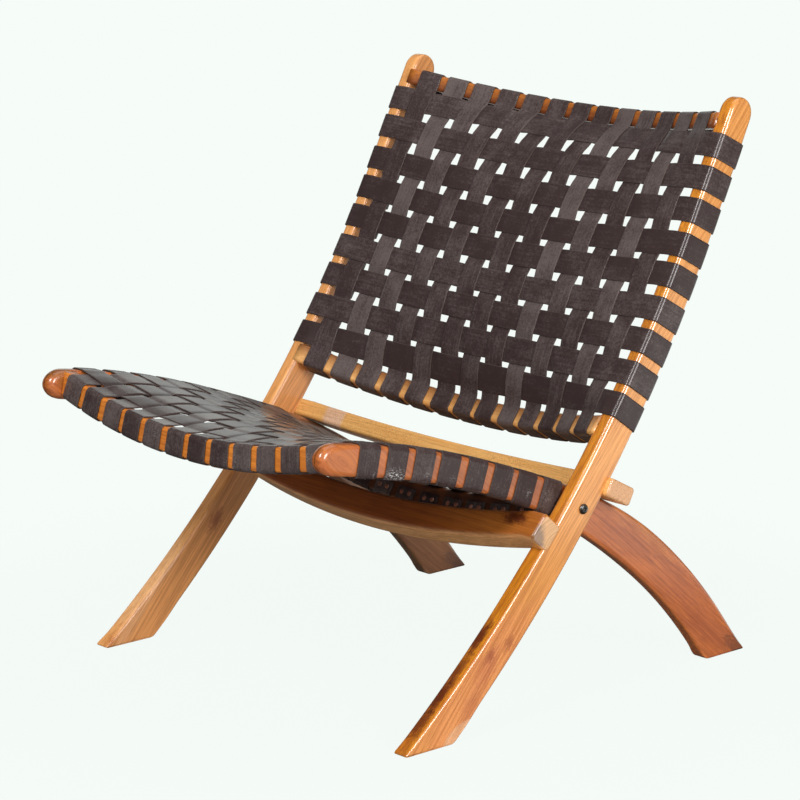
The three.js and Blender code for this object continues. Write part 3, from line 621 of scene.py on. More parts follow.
for name, side in SIDES:
    along = np.linspace(LEG_PAST_FLOOR, SEAT_NOSE - SEAT_FRONT[name], 160)
    path, back, up, depth = seat_at(along)
    half_depth = up * depth[:, None] / 2
    seat_front, seat_back = side_board(path - half_depth, path + half_depth, SEAT_NOSE, -back[-1],
                                       LEG_TOE_CUT, LEG_HEEL_CUT, 90)
    climb = np.minimum(seat_front[:, 2], seat_back[:, 2])
    to_tip = np.linalg.norm(seat_front - seat_front[-1], axis=1)
    seat_ease = SOLE_EASE + (SEAT_EASE - SOLE_EASE) * smooth(climb, *SOLE_EASED)
    seat_ease += (NOSE_EASE - SEAT_EASE) * (1 - smooth(to_tip, *NOSE_EASED))
    middle = side * (SEAT_OUTER - SEAT_THICK / 2)
    x = middle * MM
    nose = at_x(side * SEAT_OUTER * MM, seat_at(RINGS_FROM_TIP - SEAT_FRONT[name])[0])
    rings = (nose, (0.03, 0.02, 0.042), NOSE_RINGS[name], 0.8, 0.028, 0.85)
    # Darker round the heel.
    heel_darkening = ((x, 0.345, 0.008), (0.03, 0.02, 0.04), HEEL_DARKENING, 0.9, 0.01, 0.0)
    # The left rear leg is browner: partly its own colour, partly painted shade.
    stains_and_shading = [((x, 0.27, 0.1), (0.1, 0.3, 0.35), LEG_BROWN_AND_SHADE, 0.95, 0.0, 0.6)]
    if side > 0:
        cheek = SEAT_OUTER * MM
        # Painted shade, where the seat's straps wrap the right rail.
        stains_and_shading = [(at_x(x, seat_at(-165.0)[0]), (0.03, 0.16, 0.19), SHADE_UNDER_STRAPS, 0.9, 0.0, 0.8)]
        # Lighter and more orange along the top face: partly the wood's colour, partly a painted highlight.
        stains_and_shading += [(at_x(x, seat_face(length)[0]), (0.03, 0.02, 0.1), LEG_ORANGE_AND_HIGHLIGHT, 0.8, 0.0, 0.0)
                   for length in (90.0, 190.0)]
        stains_and_shading += [(at_x(cheek, seat_at(length)[0]), (0.006, 0.026, 0.08), LEG_PLUM, 0.8, 0.0, 0.0)
                   for length in (120.0, 230.0, 330.0)]
    pith = (side * LEG_PITH[0], LEG_PITH[1])
    wood = teak(f"teak_seat_rail_{name}", (x, *LEG_MIDDLE), LEG_GRAIN, pith, SEAT_FACE, SEAT_CHEEK_AND_PAINTED_LIGHT,
                [rings, heel_darkening, *stains_and_shading], SATIN)
    points, faces = board(seat_front, seat_back, middle, SEAT_THICK, seat_ease, seat_ease)
    piece(f"seat_rail_{name}", "board", points, faces, "seat_frame", wood)


# The back and the seat each hang between two bowed cross rails of teak, tenoned into the side boards.
# Their edges are rounded for the straps, and the sides towards the weave are painted darker, as painted
# shade of the straps over them.

RAIL_EASE = 4.5
STRAP_THICK = 1.7
STRAP_WIDTH = 32.0
STRAP_LEVEL = 1.05
BEHIND_RAIL = 2.8
EDGE_GAP = 0.8
CLIMB_NEAR_TOP = 14
SLIDE_UPWARDS = 1.16
FLAT_GUARD = 0.04


class Panel:
    """A woven panel between two side faces, half its width from the middle, and two cross rails, given
    as (length, sunk below the faces, width). An angle sweeps the rails' bow from side to side, and along
    is the length on the side faces. Ride, slide and climb are how far its crosswise straps settle."""

    ride = slide = climb = 0.0

    def __init__(self, rails, **sizes):
        self.__dict__.update(sizes)
        self.radius = (self.half ** 2 + self.bow ** 2) / (2 * self.bow)
        self.widest = np.arcsin(self.half / self.radius)
        rear = self.radius + self.depth + BEHIND_RAIL
        self.outermost = np.arcsin((self.half - EDGE_GAP) / rear) - STRAP_WIDTH / 2 / self.radius
        places, self.sunk, self.wide = zip(*rails)
        self.lips = (places[0] + self.wide[0] / 2, places[1] - self.wide[1] / 2)
        self.ends = []
        for along, sunk in zip(places, self.sunk):
            p, lengthwise, out, _ = self.face(along)
            self.ends.append((along, p - out * sunk, lengthwise, out))

    def hang(self, angle):
        """The bow's share at an angle: a cosine that is 1 in the middle and 0 at the sides."""
        return (np.cos(angle) - np.cos(self.widest)) / (1 - np.cos(self.widest))

    def share(self, along):
        """How far a length lies from the first lip, 0, to the last, 1."""
        return (along - self.lips[0]) / (self.lips[1] - self.lips[0])

    def settled(self, angle, along):
        """Where a crosswise strap lies on the lengths: near the two rails it rides up in its middle, and
        between them it has slid down."""
        share = np.clip(self.share(along), 0, 1)
        shift = self.ride * (1 - share) + self.climb * share ** CLIMB_NEAR_TOP
        shift = shift - self.slide * np.sin(np.pi * share ** SLIDE_UPWARDS)
        return along + shift * self.hang(angle)

    def sag(self, along):
        """How far the weave's middle hangs behind the side faces: a skin stretched between two bowed rails,
        which is a sum of two hyperbolic sines. Within its reach it comes out of the rails' bow."""
        span = np.sinh((self.lips[1] - self.lips[0]) / self.reach)
        first = (self.bow + self.sunk[0]) * np.sinh((self.lips[1] - along) / self.reach) / span
        return first + (self.bow + self.sunk[1]) * np.sinh((along - self.lips[0]) / self.reach) / span

    def middle(self, angle, along):
        """The middle of the weave: on the side faces at the edges, behind them by the sag in between."""
        p, _, out, _ = self.face(along)
        points = p + out * (STRAP_LEVEL - self.sag(along) * self.hang(angle))[..., None]
        points[..., 0] = self.radius * np.sin(angle)
        return points

    def rail(self, end, angle):
        """The middle of a cross rail's outer face and its outward direction, at an angle of the bow."""
        _, p, _, out = self.ends[end]
        points = p - out * (self.bow * self.hang(angle))[..., None]
        points[..., 0] = self.radius * np.sin(angle)
        outward = out * np.cos(angle)[..., None]
        outward[..., 0] = -np.sin(angle)
        return points, outward


back_panel = Panel(((482.2, 0.0, 26.4), (889.5, 0.0, 22.0)), face=stile_at, half=INNER,
                   bow=54.0, reach=70.0, depth=28.5, columns=13, ride=8.0, slide=13.0, climb=9.5)
seat_panel = Panel(((-374.5, 1.85, 22.0), (31.0, 8.4, 22.0)), face=seat_face, half=SEAT_INNER,
                   bow=34.5, reach=150.0, depth=30.0, columns=12)


def tube(points, flipped=False, hollow=False):
    """Faces of a grid of points (length, round) as a tube with closed ends, or as a hollow ring, whose last
    round of points meets the first."""
    count, around = points.shape[:2]
    index = np.arange(count * around).reshape(count, around)
    if flipped:
        index = index[:, ::-1]
    beside = np.roll(index, -1, 1)
    skin = np.stack([index, beside, np.roll(beside, -1, 0), np.roll(index, -1, 0)], -1)
    if hollow:
        return [skin.reshape(-1, 4)]
    return [skin[:-1].reshape(-1, 4), index[:1, ::-1], index[-1:]]


def bar(centre, across, out, wide, deep, ease, drawn_in):
    """A rounded bar: a rectangle with quarter-circle corners, carried along a line of centres, and drawn
    in all round by a length at each centre."""
    turn = np.radians(np.linspace(0, 90, 6))
    arcs = []
    for number, (i, j) in enumerate(((1, 1), (-1, 1), (-1, -1), (1, -1))):
        a = i * (wide / 2 - ease) + ease * np.cos(turn + number * np.pi / 2)
        b = j * (deep / 2 - ease) + ease * np.sin(turn + number * np.pi / 2)
        arcs.append(np.stack([a, b], 1))
    ring = []
    for number, arc in enumerate(arcs):
        following = arcs[(number + 1) % 4]
        ahead = following[0] - arc[-1]
        ring += [arc, arc[-1:] + ahead * FLAT_GUARD, following[:1] - ahead * FLAT_GUARD]
    ring = np.vstack(ring)
    left = 1 - 2 * np.asarray(drawn_in)[:, None] / (wide, deep)
    rings = ring[None] * left[:, None]
    points = centre[:, None] + across * rings[..., :1] + out * rings[..., 1:]
    return points, tube(points)


# The back's top rail and the seat's rear rail are given darker tones as painted shade of the straps and tails
# over them; the other two are the wood's own tones.
RAIL_TONES_AND_SHADE = {
    "back_bottom_rail": ((0.98, 0.52, 0.18), (0.8, 0.36, 0.09)),
    "back_top_rail": ((0.66, 0.21, 0.02), (0.4, 0.1, 0.008)),
    "seat_front_rail": ((0.9, 0.29, 0.03), (0.58, 0.15, 0.011)),
    "seat_rear_rail": ((0.34, 0.11, 0.01), (0.2, 0.055, 0.005)),
}
# Painted shade of the straps, on the rails' sides towards the weave.
PAINTED_WEAVE_SHADE = (0.36, 0.26, 0.2)
TENON_STUB = 4.0
RAIL_PITHS = ((0.03, 0.04), (-0.02, 0.04))
ACROSS_GRAIN = (0.0, np.pi / 2, 0.0)


def keep(made, name, kind, field, values):
    """Keeps a value for each of a piece's points in an attribute of its mesh."""
    values = np.asarray(values, np.float32)
    made.data.attributes.new(name, kind, "POINT").data.foreach_set(field, values.ravel())


def paint_light_and_shade(rail, dyes):
    """Keeps painted light and shade for each of a rail's points, as a dye in an attribute of its mesh."""
    keep(rail, "painted_light_and_shade", "FLOAT_COLOR", "color", np.hstack([dyes, np.ones((len(dyes), 1))]))


for panel, body, names in ((back_panel, "back_frame", ("back_bottom_rail", "back_top_rail")),
                           (seat_panel, "seat_frame", ("seat_front_rail", "seat_rear_rail"))):
    reach = panel.widest + TENON_STUB / panel.radius
    angle = np.linspace(-reach, reach, 61)
    for end, name in enumerate(names):
        lengthwise, wide = panel.ends[end][2], panel.wide[end]
        p, out = panel.rail(end, angle)
        centre = p - out * panel.depth / 2
        middle = tuple(centre[len(centre) // 2] * MM)
        wood = teak(f"teak_{name}", middle, ACROSS_GRAIN, RAIL_PITHS[end], RAIL_TONES_AND_SHADE[name], painted_shading=True)
        points, faces = bar(centre, lengthwise, out[:, None], wide, panel.depth, RAIL_EASE, 0 * angle)
        rail = piece(name, "bar", points, faces, body, wood)
        # Painted shade: each rail grows darker across its width towards the weave.
        inwards = (points - centre[:, None]) @ lengthwise * (1 - 2 * end)
        inner = smooth(inwards.ravel(), -wide / 2, wide / 2)[:, None]
        paint_light_and_shade(rail, 1 + inner * np.subtract(PAINTED_WEAVE_SHADE, 1))


# The support rail is let into the fronts of the stiles and carries the seat rails. The stop rail is
# let into the backs of the stiles and lies on the rear legs. Both are of teak, with bevelled, bare ends.
# The support rail's forward face is painted darker as the seat's shadow, and its underside is painted
# lighter as light from the floor.

SUPPORT_WIDTH = 37.0
SUPPORT_LET_IN = 8.0
SUPPORT_BOW = 32.0
SUPPORT_CONTACT = -60.5
SUPPORT_PROUD = 0.4
SUPPORT_BEVEL = 3.0
SUPPORT_EASE = 5.5
STOP_CENTRE = 57.0
STOP_LENGTH = 40.0
STOP_HEIGHT = 23.5
STOP_LET_IN = 5.0
STOP_BOW = 6.0
STOP_PROUD = 7.5
STOP_BEVEL = 2.4
STOP_EASE = 4.5
CLEARANCE = 0.3

toe_path, _, toe_forward, _ = stile_at(0.0)
STILE_HUB = toe_path + toe_forward * STILE_RADIUS


def bowed(middle, direction, half, bow, proud, bevel):
    """Centres of a rail across the chair that dips along a direction as a parabola between the sides, and
    how far each of its sections is drawn in for the bevels."""
    ahead = np.array([0.0, 0.0, 0.08, 0.4, 1.0, 1.3]) * bevel
    drawn_in = np.array([1.4, 1.0, 0.6, 0.2, 0.0, 0.0]) * bevel
    end = OUTER + proud
    between = np.linspace(-half, half, 51)
    x = np.concatenate([ahead - end, between, end - ahead[::-1]])
    drawn_in = np.concatenate([drawn_in, 0 * between, drawn_in[::-1]])
    centre = middle - direction * (bow * np.clip(1 - (x / half) ** 2, 0, None))[:, None]
    centre[:, 0] = x
    return centre, drawn_in


p, _, up, depth = seat_at(SUPPORT_CONTACT)
spoke = STILE_HUB - (p - up * (depth / 2 + CLEARANCE))
support_along = (FOOT_LEAN - np.arctan2(spoke[2], -spoke[1])) * STILE_RADIUS
support_front = STILE_RADIUS - np.linalg.norm(spoke)
p, support_up, support_forward, _ = stile_at(support_along - SUPPORT_WIDTH / 2)
support_deep = support_front + SUPPORT_LET_IN
middle = p + support_forward * (support_front - support_deep / 2)
centre, drawn_in = bowed(middle, support_up, INNER, SUPPORT_BOW, SUPPORT_PROUD, SUPPORT_BEVEL)
SUPPORT_FACE = ((0.76, 0.3, 0.045), (0.44, 0.14, 0.012))
SUPPORT_SAWN = ((0.82, 0.47, 0.23), (0.66, 0.35, 0.15))
PAINTED_SEAT_SHADOW = (0.52, 0.31, 0.16)
PAINTED_FLOOR_LIGHT = (1.35, 1.7, 4.0)
GREY = (0.42, 0.5, 0.75)
SUPPORT_PITH = (0.03, 0.02)
SEAT_SHADOW_FROM = (0.72, 0.92)
SEAT_SHADOW_FADES = (60.0, 260.0)
FLOOR_LIGHT_FROM = (0.85, 0.95)
face = middle + support_forward * (support_deep / 2 - 2.0) + support_up * 4.0
corner = middle + support_forward * support_deep / 2 - support_up * SUPPORT_WIDTH / 2
marks = [(at_x(0.258, face), (0.012, 0.016, 0.026), BURL, 0.9, 0.012, 0.0),
         (at_x(0.3, corner), (0.03, 0.026, 0.003), GREY, 0.9, 0.0, 0.5)]
wood = teak("teak_support", tuple(middle * MM), ACROSS_GRAIN, SUPPORT_PITH, SUPPORT_FACE, marks=marks,
            polish=SATIN, end=(OUTER + SUPPORT_PROUD) * MM, sawn=SUPPORT_SAWN, painted_shading=True)
points, faces = bar(centre, support_up, support_forward, SUPPORT_WIDTH, support_deep, SUPPORT_EASE, drawn_in)
rail = piece("front_support_rail", "bar", points, faces, "back_frame", wood)
section = points - centre[:, None]
ahead = (section @ support_forward).reshape(-1, 1) / (support_deep / 2)
below = (section @ support_up).reshape(-1, 1) / (-SUPPORT_WIDTH / 2)
# Painted shadow of the seat on the forward face, a little lighter towards the right end, and painted light
# from the floor on the underside.
seat_shadow = smooth(ahead, *SEAT_SHADOW_FROM) * (1 - 0.3 * smooth(points[..., 0].reshape(-1, 1), *SEAT_SHADOW_FADES))
floor_light = smooth(below, *FLOOR_LIGHT_FROM)
paint_light_and_shade(rail, 1 + seat_shadow * np.subtract(PAINTED_SEAT_SHADOW, 1) + floor_light * np.subtract(PAINTED_FLOOR_LIGHT, 1))

p, stop_along, stop_out, _ = seat_face(STOP_CENTRE)
stop_base = p + stop_out * (CLEARANCE + STOP_HEIGHT / 2)
stop_reach = STILE_RADIUS + stile_at(PIVOT_ALONG)[3] - STOP_LET_IN
spoke = stop_base - STILE_HUB
slope = spoke @ stop_along
stop_front = slope - np.sqrt(slope ** 2 - spoke @ spoke + stop_reach ** 2)
stop_back = STOP_LENGTH + STOP_LET_IN - stop_front
middle = stop_base + stop_along * (stop_back - stop_front) / 2
centre, drawn_in = bowed(middle, stop_out, SEAT_INNER, STOP_BOW, STOP_PROUD, STOP_BEVEL)
STOP_FACE = ((1.0, 0.56, 0.18), (0.8, 0.36, 0.085))
STOP_PAINTED_REFLECTION = (0.95, 1.15, 2.6)
STOP_SAWN = ((0.76, 0.4, 0.19), (0.7, 0.35, 0.155))
STOP_SAWN_DEEP = 2.0
STOP_PITH = (0.05, 0.03)
STOP_GRIT = 0.6
# A pale patch on the stop rail's face is a painted reflection of a softbox.
marks = [(at_x(-0.203, middle), (0.05, 0.05, 0.026), STOP_PAINTED_REFLECTION, 0.9, 0.0, 0.7)]
wood = teak("teak_stop", tuple(middle * MM), ACROSS_GRAIN, STOP_PITH, STOP_FACE, marks=marks, polish=SATIN,
            end=(OUTER + STOP_PROUD - STOP_SAWN_DEEP) * MM, sawn=STOP_SAWN, grit=STOP_GRIT)
points, faces = bar(centre, stop_along, stop_out, stop_front + stop_back, STOP_HEIGHT, STOP_EASE, drawn_in)
piece("rear_stop_rail", "bar", points, faces, "back_frame", wood)


# Four dark pins of hardwood go through the stiles' fronts and hold the tenons of the two back rails.
# They are cut off nearly flush, with ends that are a little domed.

PIN_RADIUS = 2.2
PIN_HEIGHT = 0.4
PIN_X = 282.0
PIN_SUNK = 0.3
ASKEW = (0.31, 0.22, 0.92)


def studs(spots, normals, radius, height, sides):
    """Domed heads: rings that follow a quarter ellipse over each spot, with a skirt under the surface and
    closed ends."""
    side = unit(np.cross(normals, ASKEW))
    other = np.cross(normals, side)
    turn = np.linspace(0, 2 * np.pi, sides + 1)[:-1, None]
    rise = np.radians([0.0, 14.0, 42.0, 72.0])
    flat = radius * np.cos(rise)
    lift = height * np.sin(rise)
    lift[0] = -height / 2
    wheel = np.cos(turn) * side[:, None] + np.sin(turn) * other[:, None]
    points = (spots[:, None, None] + wheel[:, None] * flat[:, None, None]
              + normals[:, None, None] * lift[:, None, None])
    first = np.arange(len(spots))[:, None, None] * points[0, ..., 0].size
    faces = [(first + group).reshape(-1, group.shape[1]) for group in tube(points[0])]
    return points, faces


def metal(name, colour, rough, specks):
    """Worn metal: one colour, with a fine noise in its gloss and darker specks."""
    material, shade, place = blank_material(name)
    fine = place.noise(3.0, 0.6, 900.0)
    dirt = place.noise(2.0, 0.6, 240.0).rise(0.5, 0.75)
    dull = tuple(0.35 * part for part in colour)
    inputs = {"Base Color": (dirt * specks).tint(colour, dull), "Metallic": 1.0,
              "Roughness": rough + fine * 0.2}
    shade.cover("ShaderNodeBsdfPrincipled", inputs)
    return material


PIN_BROWN = (0.1, 0.045, 0.02)
spots, _, normals, _ = stile_at([end[0] for end in back_panel.ends for _ in SIDES])
spots = spots - normals * PIN_SUNK
spots[:, 0] = [side * PIN_X for _ in back_panel.ends for _, side in SIDES]
points, faces = studs(spots, normals, PIN_RADIUS, PIN_HEIGHT, 16)
wood = teak("teak_pins", (0.0, 0.0, 0.0), STILE_GRAIN, (0.0, 0.0), (PIN_BROWN, PIN_BROWN))
piece("tenon_pins", None, points, faces, "back_frame", wood)


# The pivot has a button-head bolt of dark steel with a hexagon socket on each side, a washer that keeps
# the two boards apart, and a hexagon nut inside the seat rail.

BOLT_RADIUS = 4.0
HEAD_RADIUS = 6.5
HEAD_FACE = OUTER + CLEARANCE
SOCKET_APOTHEM = 2.3
NUT_HEIGHT = 5.0
NUT_APOTHEM = 6.05
NUT_OUTER = SEAT_INNER - CLEARANCE
NUT_INNER = NUT_OUTER - NUT_HEIGHT
WASHER_RADIUS = 10.0
WASHER_INNER = SEAT_OUTER + CLEARANCE
WASHER_OUTER = INNER - CLEARANCE
BORE_RADIUS = 4.1
ROUND = np.linspace(0, 2 * np.pi, 49)[:-1]
HEXAGON = 1 / np.cos((ROUND + np.pi / 6) % (np.pi / 3) - np.pi / 6)


def turned(profile, side):
    """A turned piece on the pivot line: rings of (radius, distance along x, share of a hexagon)."""
    radius, x, hexed = np.array(profile, float).T[..., None]
    radius = radius * (1 + hexed * (HEXAGON - 1))
    spokes = in_plane(np.cos(ROUND), np.sin(ROUND))
    points = PIVOT + radius[..., None] * spokes
    points[..., 0] = side * x
    return points


HEAD = [(HEAD_RADIUS - 0.2, 0.0), (HEAD_RADIUS, 0.2), (HEAD_RADIUS, 1.0), (6.25, 2.0), (5.6, 3.0), (4.6, 3.7),
        (3.6, 4.0), (2.9, 4.0)]
SOCKET = [(SOCKET_APOTHEM + 0.15, 3.95), (SOCKET_APOTHEM, 3.7), (SOCKET_APOTHEM, 1.9),
          (SOCKET_APOTHEM - 0.2, 1.8)]
BOLT = [(BOLT_RADIUS - 0.6, NUT_INNER + 0.5, 0), (BOLT_RADIUS, NUT_INNER + 1.1, 0),
        (BOLT_RADIUS, HEAD_FACE - 0.02, 0)]
BOLT += [(radius, HEAD_FACE + height, hexed) for hexed, rings in enumerate((HEAD, SOCKET))
         for radius, height in rings]
NUT = [(BORE_RADIUS, NUT_OUTER, 0), (5.9, NUT_OUTER, 0), (NUT_APOTHEM, NUT_OUTER - 0.4, 1),
       (NUT_APOTHEM, NUT_INNER + 0.4, 1), (5.9, NUT_INNER, 0), (BORE_RADIUS, NUT_INNER, 0)]
WASHER = [(BORE_RADIUS, WASHER_INNER, 0), (WASHER_RADIUS - 0.2, WASHER_INNER, 0),
          (WASHER_RADIUS, WASHER_INNER + 0.3, 0), (WASHER_RADIUS, WASHER_OUTER - 0.3, 0),
          (WASHER_RADIUS - 0.2, WASHER_OUTER, 0), (BORE_RADIUS, WASHER_OUTER, 0)]
steel = metal("dark_steel", (0.2, 0.19, 0.18), 0.26, 0.7)
for name, side in SIDES:
    points = turned(BOLT, side)
    piece(f"pivot_bolt_{name}", "turned", points, tube(points, side < 0), "back_frame", steel)
    for word, profile in (("washer", WASHER), ("nut", NUT)):
        points = turned(profile, side)
        faces = tube(points, (side < 0) == (word == "washer"), True)
        piece(f"pivot_{word}_{name}", "turned", points, faces, "back_frame", steel)


# The straps are strips of dark brown saddle leather with raw edges. Each is woven through the others
# and goes round a board or rail at both ends, where two nails hold its tail on the inner face.

TAIL_FROM_FACE = 0.36
LEAD = 6.0
STATIONS = 16
FLATNESS = 3.0
ROW_LIFT = 0.75
COLUMN_LIFT = 1.0
SECTION_ACROSS = np.array([-16, -15.7, -15.1, -14.2, -7, 0, 7, 14.2, 15.1, 15.7, 16])
SECTION_RING = np.r_[2:11, 9:-1:-1, 1]
SECTION_HEIGHT = np.array([.5, .5, .53, .54, .53, .5, .5, .36, 0, -.36, -.5, -.5, -.5, -.5, -.5, -.5, -.5,
                           -.36, 0, .36]) * STRAP_THICK
LEATHER_DARK = (0.042, 0.0235, 0.022)
LEATHER_WORN_AND_SHEEN = (0.135, 0.102, 0.095)
LEATHER_EDGE = (0.08, 0.056, 0.048)
DUST = (0.78, 0.76, 0.72)
DULL_BEHIND = (-0.15, -0.03)
DULL_BELOW = (0.31, 0.35)


def leather():
    """Saddle leather. The strap attribute holds the length along, the distance across and a dust share,
    and tone how light the strap is, partly from how worn it is and partly as painted sheen. Pebbles,
    blotches and streaks along the strap vary colour and gloss; the lighter colours are partly worn
    leather and partly painted sheen. The low rear of the seat is duller."""
    material, shade, place = blank_material("leather")
    strap = kept(shade, "strap", "Vector")
    tone = kept(shade, "tone", "Fac")
    across = abs(strap.part(1))
    pebble = place.noise(4.0, 0.8, 360.0)
    blotch = place.noise(3.0, 0.6, 30.0)
    streak = strap.stretched(16, 300, 0).noise(4.0, 0.65)
    # Wear and painted sheen together lift the colour towards the lighter brown.
    wear_and_sheen = tone + (blotch - 0.5) * 1.0 + (streak - 0.5) * 0.9 + (pebble - 0.5) * 1.8
    colour = wear_and_sheen.rise(0.0, 1.0).tint(LEATHER_DARK, LEATHER_WORN_AND_SHEEN)
    edge = across.rise(0.0151, 0.0157)
    colour = (edge * 0.8).tint(colour, LEATHER_EDGE)
    specks = strap.stretched(620, 260, 0).noise(5.0, 0.75).rise(0.5, 0.62)
    colour = (specks * strap.part(2)).tint(colour, DUST)
    rough = 0.48 + pebble * 0.14 + edge * 0.2
    normal = (pebble * 0.8 + streak * 0.3).bump(0.06, 0.0004)
    dull = place.part(1).rise(*DULL_BEHIND) * (1 - place.part(2).rise(*DULL_BELOW))
    finish = (0.75 + streak * 0.3) * (1 - edge) * (1 - dull * 0.7)
    inputs = {"Base Color": colour, "Roughness": rough, "Normal": normal, "Coat Weight": finish,
              "Coat Roughness": 0.24, "Coat IOR": 1.42, "Specular IOR Level": 0.25}
    shade.cover("ShaderNodeBsdfPrincipled", inputs)
    return material


def round_the_board(wide, ease):
    """The run of a strap round a board's section, from the nailed tail on the inner face, round the back
    and the outer side, to the front face. Gives distances outwards from the inner face, in front of the
    front face, and the share of the board's depth to take off the latter."""
    level = STRAP_LEVEL
    turn = ease + level

    def run(first, last, count):
        return np.array(first) + np.subtract(last, first) * np.linspace(0, 1, count)[:, None]

    def corner(outwards, ahead, share, start):
        angle = np.radians(start + np.linspace(0, 90, 8))
        return np.stack([outwards + turn * np.cos(angle), ahead + turn * np.sin(angle), share + 0 * angle], 1)

    return np.vstack([
        run((-level, 0, TAIL_FROM_FACE), (-level, ease, 1), 9)[:-1],
        corner(ease, ease, 1, 180),
        run((ease, -level, 1), (wide - ease, -level, 1), 5)[1:-1],
        corner(wide - ease, ease, 1, 270),
        run((wide + level, ease, 1), (wide + level, -ease, 0), 6)[1:-1],
        corner(wide - ease, -ease, 0, 0),
        run((wide - ease, level, 0), (LEAD, level, 0), 4)[1:],
    ])


def weave(place, crossings):
    """Over and under: a flattened cosine that is 1 at the first crossing, -1 at the next, and fades out
    half a pitch beyond the last one at each end."""
    last = len(crossings) - 1
    before = (place - crossings[0]) / (crossings[1] - crossings[0])
    after = last + (place - crossings[-1]) / (crossings[-1] - crossings[-2])
    phase = np.interp(place, crossings, np.arange(last + 1.0))
    phase = np.where(place < crossings[0], before, np.where(place > crossings[-1], after, phase))
    beyond = np.maximum(-phase, phase - last)
    return np.tanh(FLATNESS * np.cos(np.pi * phase)) * (1 - smooth(beyond, 0.0, 0.5))


def joined(ends, lips, hung, over):
    """One strap's surface: a run round a board, a curve over its lip, the hung part, and the same at the
    other end. The ends go neither over nor under."""
    low = curve_through(ends[0][-1], lips[0], hung[0], 7)[1:-1]
    high = curve_through(ends[1][-1], lips[1], hung[-1], 7)[1:-1]
    still = np.zeros(len(ends[0]) + len(low))
    surface = np.vstack([ends[0], low, hung, high[::-1], ends[1][::-1]])
    return surface, np.concatenate([still, over, still])


def row_surface(panel, row, wide, crossings):
    """A crosswise strap's middle surface over (length, across), and where it goes over and under: round
    one side board, along the bow through the columns, and round the other. A row is its place and tilt."""
    along, tilt = row
    outwards, ahead, share = round_the_board(wide, RAIL_EASE).T
    start = np.arcsin((panel.half - LEAD) / panel.radius)
    angle = np.linspace(-start, start, STATIONS * panel.columns)
    centre = panel.settled(angle, along) + tilt * np.sin(angle) / np.sin(panel.widest)
    hung = panel.middle(angle[:, None] + 0 * SECTION_ACROSS, centre[:, None] + SECTION_ACROSS)
    ends, lips = [], []
    for _, side in SIDES:
        p, _, out, deep = panel.face(along + side * tilt + SECTION_ACROSS)
        end = p + out * (ahead[:, None] - share[:, None] * deep)[..., None]
        end[..., 0] = side * (panel.half + outwards)[:, None]
        lip = p + out * STRAP_LEVEL
        lip[:, 0] = side * panel.half
        ends.append(end)
        lips.append(lip)
    return joined(ends, lips, hung, -weave(angle, crossings))


def column_angle(panel, column, along):
    """The angle of a column's middle at a length: its place, and its tilt from end to end."""
    place, tilt = column
    return place + tilt * (2 * panel.share(along) - 1) / panel.radius


def column_surface(panel, column, crossings):
    """A lengthwise strap's middle surface over (length, across), and where it goes over and under: round
    the lower rail, from the rail's level to the weave's, through the rows, and round the upper rail."""
    along = np.linspace(panel.lips[0] + LEAD, panel.lips[1] - LEAD, STATIONS * len(crossings))
    angles = column_angle(panel, column, along)[:, None] + SECTION_ACROSS / panel.radius
    hung = panel.middle(angles, along[:, None] + 0 * angles)
    ends, lips = [], []
    for end, sign, near in ((0, -1, crossings[0]), (1, 1, crossings[-1])):
        lip_at = panel.lips[end]
        angles = column_angle(panel, column, lip_at) + SECTION_ACROSS / panel.radius
        lengthwise = panel.ends[end][2]
        outwards, ahead, share = round_the_board(panel.wide[end], RAIL_EASE).T
        ahead = (ahead - share * panel.depth)[:, None, None]
        p, out = panel.rail(end, angles)
        corner = p - lengthwise * sign * panel.wide[end] / 2
        ends.append(corner + lengthwise * sign * outwards[:, None, None] + out * ahead)
        lip = corner + out * STRAP_LEVEL
        off = lip - panel.middle(angles, lip_at + 0 * angles)
        hung += off * (1 - smooth(along, lip_at, near))[:, None, None]
        lips.append(lip)
    return joined(ends, lips, hung, weave(along, crossings))


leather_brown = leather()
PATTERN_STEP = 977.0
NAIL_STATIONS = (4, -5)
NAIL_SIDES = (4, 6)
nails = {"back_frame": [], "seat_frame": []}


def lay_strap(name, body, surface, lift, tone, flipped):
    """One strap: its section with rounded edges, carried along the middle surface and set off along its
    normal by the lift. Keeps its length, width, dust and tone on the mesh, and its nails' places."""
    if flipped:
        surface = surface[:, ::-1]
    normal = unit(np.cross(np.gradient(surface, axis=0), np.gradient(surface, SECTION_ACROSS, axis=1)))
    points = surface[:, SECTION_RING] + normal[:, SECTION_RING] * (lift[:, None] + SECTION_HEIGHT)[..., None]
    made = piece(name, "strap", points, tube(points, True), body, leather_brown)
    steps = np.linalg.norm(np.diff(surface[:, len(SECTION_ACROSS) // 2], axis=0), axis=1)
    length = np.concatenate([[0], np.cumsum(steps)])
    marks = np.zeros(points.shape, np.float32)
    marks[..., 0] = (length[:, None] + PATTERN_STEP * len(bpy.data.objects)) * MM
    marks[..., 1] = SECTION_ACROSS[SECTION_RING] * MM
    if body == "seat_frame":
        for spot, reach, amount in SCUFFS:
            marks[..., 2] += amount * np.exp(-(np.linalg.norm(points - spot, axis=-1) / reach) ** 2)
    keep(made, "strap", "FLOAT_VECTOR", "vector", marks)
    keep(made, "tone", "FLOAT", "value", np.full(points.shape[:2], tone))
    for station in NAIL_STATIONS:
        for side in NAIL_SIDES:
            at = surface[station, side] + normal[station, side] * STRAP_THICK / 2
            nails[body].append((at, normal[station, side]))


def seat_side(along, down):
    """A spot on the right seat rail's outer side, by length from the pivot and distance below its middle."""
    p, _, up, _ = seat_at(along)
    return p - up * down + (SEAT_OUTER, 0, 0)


def seat_nose(angle, down):
    """A spot on the front of the seat's front rail, by angle of the bow and distance below its face."""
    p, out = seat_panel.rail(0, np.asarray(angle))
    return p - seat_panel.ends[0][2] * seat_panel.wide[0] / 2 - out * down


